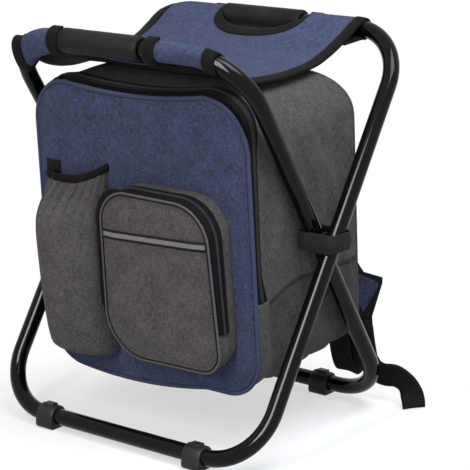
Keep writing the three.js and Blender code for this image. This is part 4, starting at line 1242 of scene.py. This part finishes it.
def make_main_zip():
    start = BAG_OUTLINE.rising(ZIP_RIGHT_END_Z)
    end = BAG_OUTLINE.falling(ZIP_END_Z)
    for name, y0, y1, coil_place, body in (
            ("flap", ZIP_FRONT_Y, ZIP_SPLIT_Y - 0.15, 0.86, "front_flap"),
            ("bag", ZIP_SPLIT_Y + 0.15, ZIP_BACK_Y, 0.14, "bag")):
        bm = bmesh.new()
        run_round(bm, BAG_OUTLINE, lambda u, share: (ZIP_OUT, zip_depth(mix(y0, y1, u), share), 0.0), 8, 220,
                  10, lambda u: (start, end))
        set_down(bm, f"main_zip_{name}", zip_tape, body, [f"main_zip_tape_{name}"], wall=1.0)
        middle = mix(y0, y1, coil_place)
        make_seam_cord(f"main_zip_coil_{name}", 1.25, lambda share: zip_depth(middle, share), coil_painted_highlight_finish,
                       body, ZIP_OUT + 0.2, start, end, along=260)

    def gusset_section(u, share):
        return ZIP_OUT + 0.8 * math.sin(math.pi * u), mix(ZIP_FRONT_Y, ZIP_BACK_Y, u), 0.0

    bm = bmesh.new()
    run_round(bm, BAG_OUTLINE, gusset_section, 10, 150, 20, lambda u: (end - 0.998, start - 0.0003))
    gusset = set_down(bm, "door_gusset", grey_cloth, None,
                      ["flap_gusset_left", "flap_gusset_right"], wall=1.0)
    bag_metres(0, ZIP_BACK_Y, -100)
    bag_metres(0, ZIP_FRONT_Y, -100)
    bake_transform(gusset)


make_door()
make_main_zip()


# Zip pocket on the door


def pocket_wall(v, share, out=0.0):
    """A point of the pocket's wall, from the door at v 0 to the rim of its front at v 1."""
    low = POCKET_BASE.at(share, out)
    high = POCKET_FACE.at(share, out)
    bulge = 1.6 * math.sin(math.pi * v)
    spot = low.lerp(high, v) + POCKET_FACE.spot(share)[1] * bulge
    return bag_point(spot.x, mix(POCKET_SEAT_Y, POCKET_RIM_Y, v), spot.y)


def leftness(share):
    """1 on the left side of the pocket, where its zip lies flat beside the bottle pocket, and 0 elsewhere."""
    return ease((5 - POCKET_FACE.at(share).x) / 30)


def make_pocket_wall():
    """The wall of the pocket, with the zip in it and a guard over the zip on the left."""
    bm = bmesh.new()
    lay_sheet(bm, 10, 200, lambda a, b: pocket_wall(1 - a, b), (26, POCKET_FACE.length))
    weld(bm)
    set_down(bm, "pocket_wall", grey_cloth, "front_flap", ["zip_pocket_wall"], wall=CLOTH_T)
    start = POCKET_FACE.rising(POCKET_ZIP_ENDS[0])
    end = POCKET_FACE.falling(POCKET_ZIP_ENDS[1])
    length = POCKET_FACE.length * (end - start)

    def tape(a, b):
        share = mix(start, end, b)
        flat = mix(1.0, 0.3, leftness(share))
        return pocket_wall(mix(0.97, 0.45, a), share, 0.9 * flat + 1.2 * flat * math.sin(math.pi * a))

    def guard(a, b):
        share = mix(start, end, b)
        reach = ZIP_GUARD * leftness(share) * ease((1 - b) / 0.06)
        return pocket_wall(mix(0.985, 0.95, a), share, 0.6 + reach * a)

    bm = bmesh.new()
    lay_sheet(bm, 8, 170, tape, (11, length))
    lay_sheet(bm, 5, 170, guard, (ZIP_GUARD, length))
    set_down(bm, "pocket_zip", zip_tape, "front_flap", ["pocket_zip_tape"], wall=0.8)

    def coil(a, b):
        turn = TURN * a
        share = mix(start, end, b)
        out = 2.0 - 1.8 * leftness(share) + 1.1 * math.cos(turn)
        return pocket_wall(0.71 - 0.045 * math.sin(turn), share, out)

    bm = bmesh.new()
    lay_sheet(bm, 10, 220, coil, (7, length))
    weld(bm)
    bmesh.ops.holes_fill(bm, edges=bm.edges)
    set_down(bm, "pocket_zip_coil", coil_painted_highlight_finish, "front_flap")


def make_pocket_front():
    """The front of the pocket, with its piping and its pale stripe."""
    face = panel_face(1.4)

    def front(u, share):
        out, y, inward = face(u)
        spot = POCKET_FACE.at(share, out, inward)
        crown = 1.2 * ease((0.72 - u) / 0.5)
        pucker = 0.3 * ripple(spot.x * 0.06, spot.y * 0.06, 9.0) * ease((0.7 - u) / 0.2)
        return out, POCKET_RIM_Y - 1.5 + y - crown + pucker, inward

    bm = bmesh.new()
    run_round(bm, POCKET_FACE, front, 50, 200, 80)
    weld(bm)
    flat_threads(bm)
    set_down(bm, "pocket_face", grey_cloth, "pocket_flap", ["pocket_front"])
    make_seam_cord("pocket_edge", 1.2, lambda share: POCKET_RIM_Y - 0.9, pale_piping, "pocket_flap",
                   1.1, replaces=["pocket_piping"], outline=POCKET_FACE, along=220)
    make_seam_cord("pocket_edge_seam", 0.7, lambda share: POCKET_RIM_Y - 1.6, dark_thread, "pocket_flap",
                   -0.9, outline=POCKET_FACE, along=220)
    left = POCKET_FACE.at(POCKET_FACE.falling(STRIPE_LEFT_Z)).x + 2.0
    right = POCKET_FACE.at(POCKET_FACE.rising(STRIPE_RIGHT_Z)).x - 2.0

    def stripe(a, b):
        edge = min(a, 1 - a) * (right - left)
        y = POCKET_RIM_Y - 2.2 - 2.2 * ease(edge / 18)
        return bag_point(mix(left, right, a), y, mix(STRIPE_LEFT_Z, STRIPE_RIGHT_Z, a) + STRIPE_W * (b - 0.5))

    bm = bmesh.new()
    lay_sheet(bm, 60, 6, stripe, (right - left, STRIPE_W))
    set_down(bm, "pocket_stripe_tape", stripe_finish, "pocket_flap", ["pocket_stripe"], wall=0.6)


# Bottle pocket: a gathered pouch with an elastic rim and a tab


pouch_side = Route(BOTTLE_SIDE)


def pouch_point(u, v, out=0.0):
    """The pouch from left to right, and from the middle of its foot up to its mouth."""
    z, depth = pouch_side.at(v)
    turn = math.pi * (1 - u)
    gather = ease((v - 0.6) / 0.4)
    drawn = ease((v - 0.68) / 0.2) * mix(1.0, 0.3, ease((v - 0.93) / 0.06))
    folds = PLEAT_DEPTH * (2 * abs(math.sin(turn * PLEATS)) ** 0.7 - 1.4)
    pleat = drawn * (folds + 1.6 * ripple(u * 14, v * 2, 5.0))
    sag = 1.4 * ripple(u * 5, v * 4, 8.0) * ease(v / 0.3)
    deep = depth + pleat + sag + out
    half = BOTTLE_HALF_W * mix(0.55, 1.0, ease(v / 0.14)) * mix(1.0, 0.94, gather) + out
    z += gather * (15 * ease((u - 0.45) / 0.55) - 8)
    return bag_point(BOTTLE_X + half * math.cos(turn), POCKET_SEAT_Y - deep * math.sin(turn) ** 0.85, z)


def make_bottle_pocket():
    bm = bmesh.new()
    lay_sheet(bm, 150, 60, pouch_point, (150, 200))
    weld(bm)
    set_down(bm, "bottle_pouch", grey_cloth, "front_flap", ["bottle_pocket"], wall=1.4)

    def rim(a, b):
        turn = TURN * b
        point = pouch_point(a, 0.985, 0.4 + 2.3 * math.cos(turn))
        return point + Vector((0, 0, 3.0 + 4.2 * math.sin(turn)))

    bm = bmesh.new()
    lay_sheet(bm, 150, 14, rim, (150, 20))
    weld(bm)
    bmesh.ops.holes_fill(bm, edges=bm.edges)
    set_down(bm, "bottle_elastic", binding_tape, "front_flap", ["bottle_pocket_elastic"])

    def tab(a, b):
        bow = 2.6 * math.sin(math.pi * b)
        return bag_point(mix(*TAB_X, b), POCKET_SEAT_Y - 0.9 - bow, mix(*TAB_Z, a))

    bm = bmesh.new()
    lay_sheet(bm, 6, 16, tab, (14, 20))
    turn_over(bm)
    set_down(bm, "bottle_tab", strap_webbing, "front_flap", ["bottle_pocket_tab"], wall=1.2)


make_pocket_wall()
make_pocket_front()
make_bottle_pocket()


# Zip sliders and pulls


def make_zip_head(name, place, size, pull):
    """A slider with a bridge over its back, and a slotted pull that hangs from the bridge."""
    x, y, z = place
    thick, wide, high = size
    turn = Matrix.Translation((0, 0, PIVOT_Z)) @ Matrix.Rotation(TILT, 4, "X")
    bm = bmesh.new()
    round_block(bm, (thick * 0.55, wide, high), (x - thick * 0.28, y, z + high / 2), 0.5)
    round_block(bm, (thick * 0.4, wide * 0.3, high * 0.62), (x - thick * 0.75, y, z + high / 2), 0.4)
    bmesh.ops.transform(bm, matrix=turn, verts=bm.verts)
    set_down(bm, f"{name}_slider_body", gunmetal, f"{name}_slider", [f"{name}_slider"], sharp=40)
    thin, breadth, length = pull
    bm = bmesh.new()
    plate = bmesh.ops.create_grid(bm, x_segments=1, y_segments=1, size=0.5)["verts"]
    bmesh.ops.scale(bm, vec=(breadth, length, 1), verts=plate)
    hole = bmesh.ops.inset_region(bm, faces=bm.faces[:], thickness=breadth * 0.24, use_boundary=True,
                                  use_even_offset=True)
    inner = [face for face in bm.faces if face not in hole["faces"]]
    bmesh.ops.delete(bm, geom=inner, context="FACES")
    bmesh.ops.solidify(bm, geom=bm.faces[:], thickness=thin)
    middle = sum(vert.co.z for vert in bm.verts) / len(bm.verts)
    bmesh.ops.translate(bm, vec=(0, 0, -middle), verts=bm.verts)
    round_edges(bm, [edge for edge in bm.edges if edge.calc_face_angle(0) > 0.5], thin * 0.28, 2)
    stand = Matrix(((0, 0, 1, x - thick - 0.3 - thin / 2), (1, 0, 0, y),
                    (0, 1, 0, z + high / 2 - length / 2), (0, 0, 0, 1)))
    bmesh.ops.transform(bm, matrix=turn @ stand, verts=bm.verts)
    face_out(bm)
    set_down(bm, f"{name}_pull_tab", gunmetal, f"{name}_pull", [f"{name}_pull"], sharp=40)


make_zip_head("main_zip", MAIN_ZIP_HEAD, MAIN_SLIDER, MAIN_PULL)
make_zip_head("pocket_zip", POCKET_ZIP_HEAD, POCKET_SLIDER, POCKET_PULL)


# Pivot cuffs: webbing loops round both tubes at each pivot


def make_cuff(side, sign):
    bm = bmesh.new()
    near, far = CUFF_X
    cuff = Outline((far, -CUFF_HALF_D, 11), (far, CUFF_HALF_D, 11), (near, CUFF_HALF_D, 5),
                   (near, -CUFF_HALF_D, 5))

    def place(a, b):
        pinch = 0.9 * math.cos(TURN * (a - 0.5)) + 0.5 * ripple(b * 12, a * 3, sign * 4.0)
        spot = cuff.at(b, pinch * 0.6 - 0.6)
        lower = 2.0 * math.cos(QUARTER * spot.y / CUFF_HALF_D) - CUFF_HALF_H
        return Vector((sign * spot.x, spot.y, PIVOT_Z + mix(lower, CUFF_HALF_H, a)))

    lay_sheet(bm, 12, 120, place, (23, cuff.length))
    weld(bm)
    face_out(bm)
    set_down(bm, f"pivot_cuff_{side}", cuff_tape, "bag", [f"pivot_band_{side}"], wall=1.5)


for side, sign in SIDES:
    make_cuff(side, sign)


# Shoulder straps: the routes of the right one, as centres with the direction of the width


def back_spot(x, z, out):
    return tuple(bag_point(x, BAG_BACK + out, z))


PAD_STATIONS = (
    (back_spot(62, 99, 5.8), (1, 0, 0)), (back_spot(62, 79, 5.8), (1, 0, 0)),
    ((62, 103, 288), (1, 0.1, 0)), ((64, 117, 264), (0.98, 0.15, 0)), ((67, 124, 228), (0.98, 0.2, 0)),
    ((71, 125, 192), (0.95, 0.3, 0)), ((79, 123.5, 168), (0.86, 0.5, 0)), ((93, 121.5, 152), (0.64, 0.77, 0)),
    ((111, 119.5, 142), (0.42, 0.9, 0)), ((BUCKLE_X, BUCKLE_Y, 136.8), BUCKLE_WIDE))
WEBBING_STATIONS = (
    (back_spot(104, -106, 1.1), (1, 0, 0)), ((105, 101, 84), (1, 0, 0)), ((105, 107, 58), (1, 0, 0)),
    ((106, 113.5, 41), (1, 0, 0)), ((108, 120, 37), (1, 0, 0)), ((111, 125.5, 44), (1, 0.05, 0)),
    ((114.5, 126, 64), (0.85, 0.5, 0)), ((119, 122, 88), (0.55, 0.83, 0)), ((121, 118.5, 104), BUCKLE_WIDE),
    ((119, 119.2, 114), BUCKLE_WIDE), ((117.6, 119.7, 122), BUCKLE_WIDE), ((117.6, 119.7, 135), BUCKLE_WIDE))
TAIL_STATIONS = (
    ((123.45, 117.4, 121), BUCKLE_WIDE), ((124, 117.4, 106), BUCKLE_WIDE),
    ((123, 120.5, 86), (0.45, 0.89, 0)), ((119.5, 129, 66), (0.75, 0.66, 0)),
    ((117.5, 138.5, 50), (1, 0.2, 0.05)),
    ((122, 144, 36), (0.74, 0.1, 0.66)), ((134, 145.5, 30.5), (0.1, 0, 1)), ((150, 146, 31.5), (0, 0, 1)),
    ((162, 145.5, 27.5), (0.35, 0, 0.94)), ((169.5, 145, 20), (0.75, 0.2, 0.6)),
    ((174, 144, 10), (0.8, 0.6, 0)), ((176, 143, 1.5), (0.6, 0.8, 0)))


def swell(bm, name, cap):
    """Fills a closed soft form: it is blown up as cloth, and no point moves further than cap."""
    bmesh.ops.scale(bm, vec=(MM, MM, MM), verts=bm.verts)
    mesh = bpy.data.meshes.new(name)
    bm.to_mesh(mesh)
    bm.free()
    form = bpy.data.objects.new(name, mesh)
    scene = bpy.context.scene
    scene.collection.objects.link(form)
    remesh = form.modifiers.new("even", "REMESH")
    remesh.mode = "VOXEL"
    remesh.voxel_size = 0.0042
    graph = bpy.context.evaluated_depsgraph_get()
    even = bpy.data.meshes.new_from_object(form.evaluated_get(graph))
    form.modifiers.clear()
    form.data = even
    still = [vert.co.copy() for vert in even.vertices]
    cloth = form.modifiers.new("fill", "CLOTH")
    cloth.settings.use_pressure = True
    cloth.settings.uniform_pressure_force = 4
    cloth.settings.effector_weights.gravity = 0
    for number in range(1, 21):
        scene.frame_set(number)
    graph = bpy.context.evaluated_depsgraph_get()
    full = bpy.data.meshes.new_from_object(form.evaluated_get(graph))
    for vert, rest in zip(full.vertices, still):
        move = vert.co - rest
        if move.length > cap * MM:
            vert.co = rest + move.normalized() * cap * MM
    form.modifiers.clear()
    form.data = full
    scene.frame_set(1)
    filled = bmesh.new()
    filled.from_mesh(form.data)
    bpy.data.objects.remove(form)
    bmesh.ops.smooth_vert(filled, verts=filled.verts, factor=0.5, use_axis_x=True, use_axis_y=True,
                          use_axis_z=True)
    bmesh.ops.scale(filled, vec=(1 / MM, 1 / MM, 1 / MM), verts=filled.verts)
    return filled


def narrowed(b):
    """How far the pad draws in towards its lower end."""
    return mix(0.5, 1.0, ease((1 - b) / 0.2))


def make_pad(side, sign):
    """A shoulder pad: a filled blue strip with black tape bound round its edges."""
    band = Band(PAD_STATIONS, sign)

    def body(a, b):
        centre, wide, face = band.spot(b)
        turn = TURN * a
        flat = math.copysign(abs(math.cos(turn)) ** 0.5, math.cos(turn))
        deep = math.copysign(abs(math.sin(turn)) ** 0.7, math.sin(turn))
        end = ease(min(b, 1 - b) / 0.02)
        half = (PAD_W / 2 - 2) * mix(0.7, 1, end) * narrowed(b)
        thick = (PAD_T / 2 - 1.6) * mix(0.3, 1, end)
        return centre + wide * flat * half + face * deep * thick

    bm = bmesh.new()
    lay_sheet(bm, 40, 90, body, (110, band.length))
    weld(bm)
    bmesh.ops.holes_fill(bm, edges=bm.edges)
    face_out(bm)
    # The pad's blue is darkened as painted shade.
    pad = set_down(swell(bm, f"pad_form_{side}", 3.0), f"strap_pad_{side}", blue_pad_cloth_painted_shade, "bag",
                   [f"shoulder_strap_{side}"], rounds=1)
    bm = bmesh.new()
    for edge in (-1, 1):
        def bound(a, b):
            centre, wide, face = band.spot(b)
            turn = mix(-1.25, 1.25, a) * QUARTER
            half = (PAD_W / 2 - 4.5) * narrowed(b) + 4.2 * math.cos(turn)
            return centre + wide * edge * half + face * 3.6 * math.sin(turn)

        lay_sheet(bm, 12, 90, bound, (14, band.length))
    weld(bm)
    face_out(bm)
    set_down(bm, f"pad_binding_{side}", binding_tape, "bag", wall=1.0)


def buckle_wide(sign):
    """The direction of the strap's width at its buckle."""
    x, y, z = BUCKLE_WIDE
    return Vector((sign * x, y, z)).normalized()


def make_pad_end(side, sign):
    """The pointed flap at the lower end of a pad, black with a blue patch on it."""
    foot = Vector((sign * BUCKLE_X, BUCKLE_Y, 0))
    wide = buckle_wide(sign)
    front = wide.cross(Vector((0, 0, sign)))
    # The blue patch is darkened as painted shade.
    for name, finish, slot, high, low, half, tip, out in (
            ("pad_end", binding_tape, "black_webbing", 0.0, 98, 25.5, 12.5, 5.4),
            ("pad_end_patch", blue_pad_cloth_painted_shade, "blue_cloth", 4.5, 106, 19, 1, 6.3)):
        def flap(a, b):
            reach = mix(half, tip, max(0.0, b - 0.15) / 0.85)
            z = mix(mix(160, 140, a) - high, low, b)
            return foot + wide * mix(-reach, reach, a) + front * out + Vector((0, 0, z))

        bm = bmesh.new()
        lay_sheet(bm, 12, 20, flap, (46, 40))
        if sign == 1:
            turn_over(bm)
        set_down(bm, f"{name}_{side}", finish, "bag", wall=0.8)


def make_webbing(side, sign):
    """The webbing from the bag's lower corner to the buckle, and its tail from there to the floor."""
    for name, node, stations, along in (("webbing", "strap_webbing", WEBBING_STATIONS, 90),
                                        ("webbing_tail", "strap_tail", TAIL_STATIONS, 110)):
        band = Band(stations, sign)

        def place(a, b):
            centre, wide, _ = band.spot(b)
            return centre + wide * mix(-WEBBING_W / 2, WEBBING_W / 2, a)

        bm = bmesh.new()
        lay_sheet(bm, 6, along, place, (WEBBING_W, band.length))
        strap = set_down(bm, f"{name}_{side}", strap_webbing, "bag", [f"{node}_{side}"],
                         wall=WEBBING_T, side=0)


def make_buckle(side, sign):
    """A ladder buckle: a frame with two slots and a grip bar, turned to face along the strap."""
    bm = bmesh.new()
    width = WEBBING_W + 2 * BUCKLE_RAIL
    for z in (-8, 0, 8):
        round_block(bm, (width, 4.4 if z else 5.0, BUCKLE_RAIL), (0, 0, z), 1.1)
    for end in (-1, 1):
        round_block(bm, (BUCKLE_RAIL, 4.2, 20), (end * (width - BUCKLE_RAIL) / 2, 0, 0), 1.1)
    wide = buckle_wide(sign)
    up = Vector((0, 0, 1))
    turn = Matrix((wide, up.cross(wide), up)).transposed().to_4x4()
    place = Matrix.Translation((sign * BUCKLE_X, BUCKLE_Y, BUCKLE_Z)) @ turn
    bmesh.ops.transform(bm, matrix=place, verts=bm.verts)
    face_out(bm)
    set_down(bm, f"ladder_buckle_{side}", buckle_plastic, "bag", [f"strap_buckle_{side}"],
             sharp=40)


for side, sign in SIDES:
    make_pad(side, sign)
    make_pad_end(side, sign)
    make_webbing(side, sign)
    make_buckle(side, sign)


# Finishes of the CAD pieces that stay


def refinish(finish, *names):
    for name in names:
        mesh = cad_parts[name].data
        mesh.materials.clear()
        mesh.materials.append(finish)


refinish(foam_finish, "insulation_base", "insulation_left", "insulation_right", "insulation_back")
refinish(zinc_steel, "pivot_rivet_left", "pivot_rivet_right", "outer_tube_splice", "inner_tube_splice")
refinish(foot_plastic, "pivot_washer_left", "pivot_washer_right")


# Studio: pale floor, white surround, two soft lamps and one that shows in gloss alone


def surround_rays(owner):
    """1 for rays that show the surroundings as they look, and 0 for rays that carry light."""
    path = add_node(owner, "ShaderNodeLightPath", {})
    seen = path.outputs["Is Camera Ray"]
    for name in ("Is Glossy Ray", "Is Transmission Ray"):
        seen = calculate(owner, "MAXIMUM", seen, path.outputs[name])
    return seen


def make_floor():
    """A white floor that shows its shade near the stool, and lights the stool as pale paper does."""
    bm = bmesh.new()
    bmesh.ops.create_grid(bm, x_segments=1, y_segments=1, size=6.0)
    mesh = bpy.data.meshes.new("studio_floor")
    bm.to_mesh(mesh)
    bm.free()
    floor = bpy.data.objects.new("studio_floor", mesh)
    bpy.context.scene.collection.objects.link(floor)
    paper = bpy.data.materials.new("pale_floor")
    paper.use_nodes = True
    paper.node_tree.nodes.clear()
    plain = add_node(paper, "ShaderNodeBsdfDiffuse", {"Color": (0.62, 0.62, 0.62, 1)})
    shade = add_node(paper, "ShaderNodeBsdfDiffuse", {"Color": (0.42, 0.42, 0.42, 1)})
    lift = add_node(paper, "ShaderNodeEmission", {"Color": (1, 1, 1, 1), "Strength": 0.56})
    near = add_node(paper, "ShaderNodeAddShader", {0: shade.outputs[0], 1: lift.outputs[0]})
    white = add_node(paper, "ShaderNodeEmission", {"Color": (1, 1, 1, 1), "Strength": 1.0})
    shifted = add_node(paper, "ShaderNodeVectorMath", {
        0: coordinates(paper, "Object"), 1: SHADE_CENTRE}, operation="SUBTRACT")
    away = add_node(paper, "ShaderNodeVectorMath", {0: shifted.outputs[0]}, operation="LENGTH")
    fade = add_node(paper, "ShaderNodeMapRange", {
        "Value": away.outputs["Value"], "From Min": SHADE_FROM, "From Max": SHADE_TO},
        interpolation_type="SMOOTHSTEP")
    shown = add_node(paper, "ShaderNodeMixShader", {
        0: fade.outputs[0], 1: near.outputs[0], 2: white.outputs[0]})
    choice = add_node(paper, "ShaderNodeMixShader", {
        0: surround_rays(paper), 1: plain.outputs[0], 2: shown.outputs[0]})
    add_node(paper, "ShaderNodeOutputMaterial", {0: choice.outputs[0]})
    mesh.materials.append(paper)


def make_world():
    world = bpy.data.worlds.new("studio")
    bpy.context.scene.world = world
    world.use_nodes = True
    world.node_tree.nodes.clear()
    light = add_node(world, "ShaderNodeBackground", {"Color": (0.98, 0.99, 1.0, 1), "Strength": 0.42})
    white = add_node(world, "ShaderNodeBackground", {"Color": (1, 1, 1, 1), "Strength": 1.0})
    choice = add_node(world, "ShaderNodeMixShader", {
        0: surround_rays(world), 1: light.outputs[0], 2: white.outputs[0]})
    add_node(world, "ShaderNodeOutputWorld", {0: choice.outputs[0]})


def direction(azimuth, elevation):
    """The way from the stool to a place round it. Azimuth 0 is the front, and goes to the right."""
    around = math.radians(azimuth)
    above = math.radians(elevation)
    return Vector((math.sin(around) * math.cos(above), -math.cos(around) * math.cos(above), math.sin(above)))


def set_up(name, data, place, away):
    """Stands a lamp or the camera at a place, facing back along a direction."""
    thing = bpy.data.objects.new(name, data)
    thing.location = place
    thing.rotation_euler = away.to_track_quat("Z", "Y").to_euler()
    bpy.context.scene.collection.objects.link(thing)
    return thing


def make_lamp(name, azimuth, elevation, distance, size, power, colour):
    """A flat soft lamp that faces the stool."""
    data = bpy.data.lights.new(name, "AREA")
    data.shape = "RECTANGLE"
    data.size, data.size_y = size
    data.energy = power
    data.color = colour
    away = direction(azimuth, elevation)
    return set_up(name, data, Vector(LAMP_AIM) + away * distance, away)


def make_camera():
    data = bpy.data.cameras.new("view")
    data.lens = VIEW_LENS
    data.sensor_width = 36
    bpy.context.scene.camera = set_up("view", data, Vector(VIEW_PLACE) * MM,
                                      direction(VIEW_AZIMUTH, VIEW_ELEVATION))


make_floor()
make_world()
make_lamp("front_lamp", 7, 30, 1.8, (0.18, 1.2), 15, (1.0, 0.98, 0.96))
make_lamp("right_lamp", 80, 60, 1.4, (0.7, 0.7), 20, (0.85, 0.91, 1.0))
gloss_lamp = make_lamp("gloss_lamp", 16, 30, 1.8, (0.8, 1.4), 80, (1.0, 1.0, 1.0))
gloss_lamp.visible_diffuse = False
make_camera()
bpy.context.scene.view_settings.view_transform = "Standard"
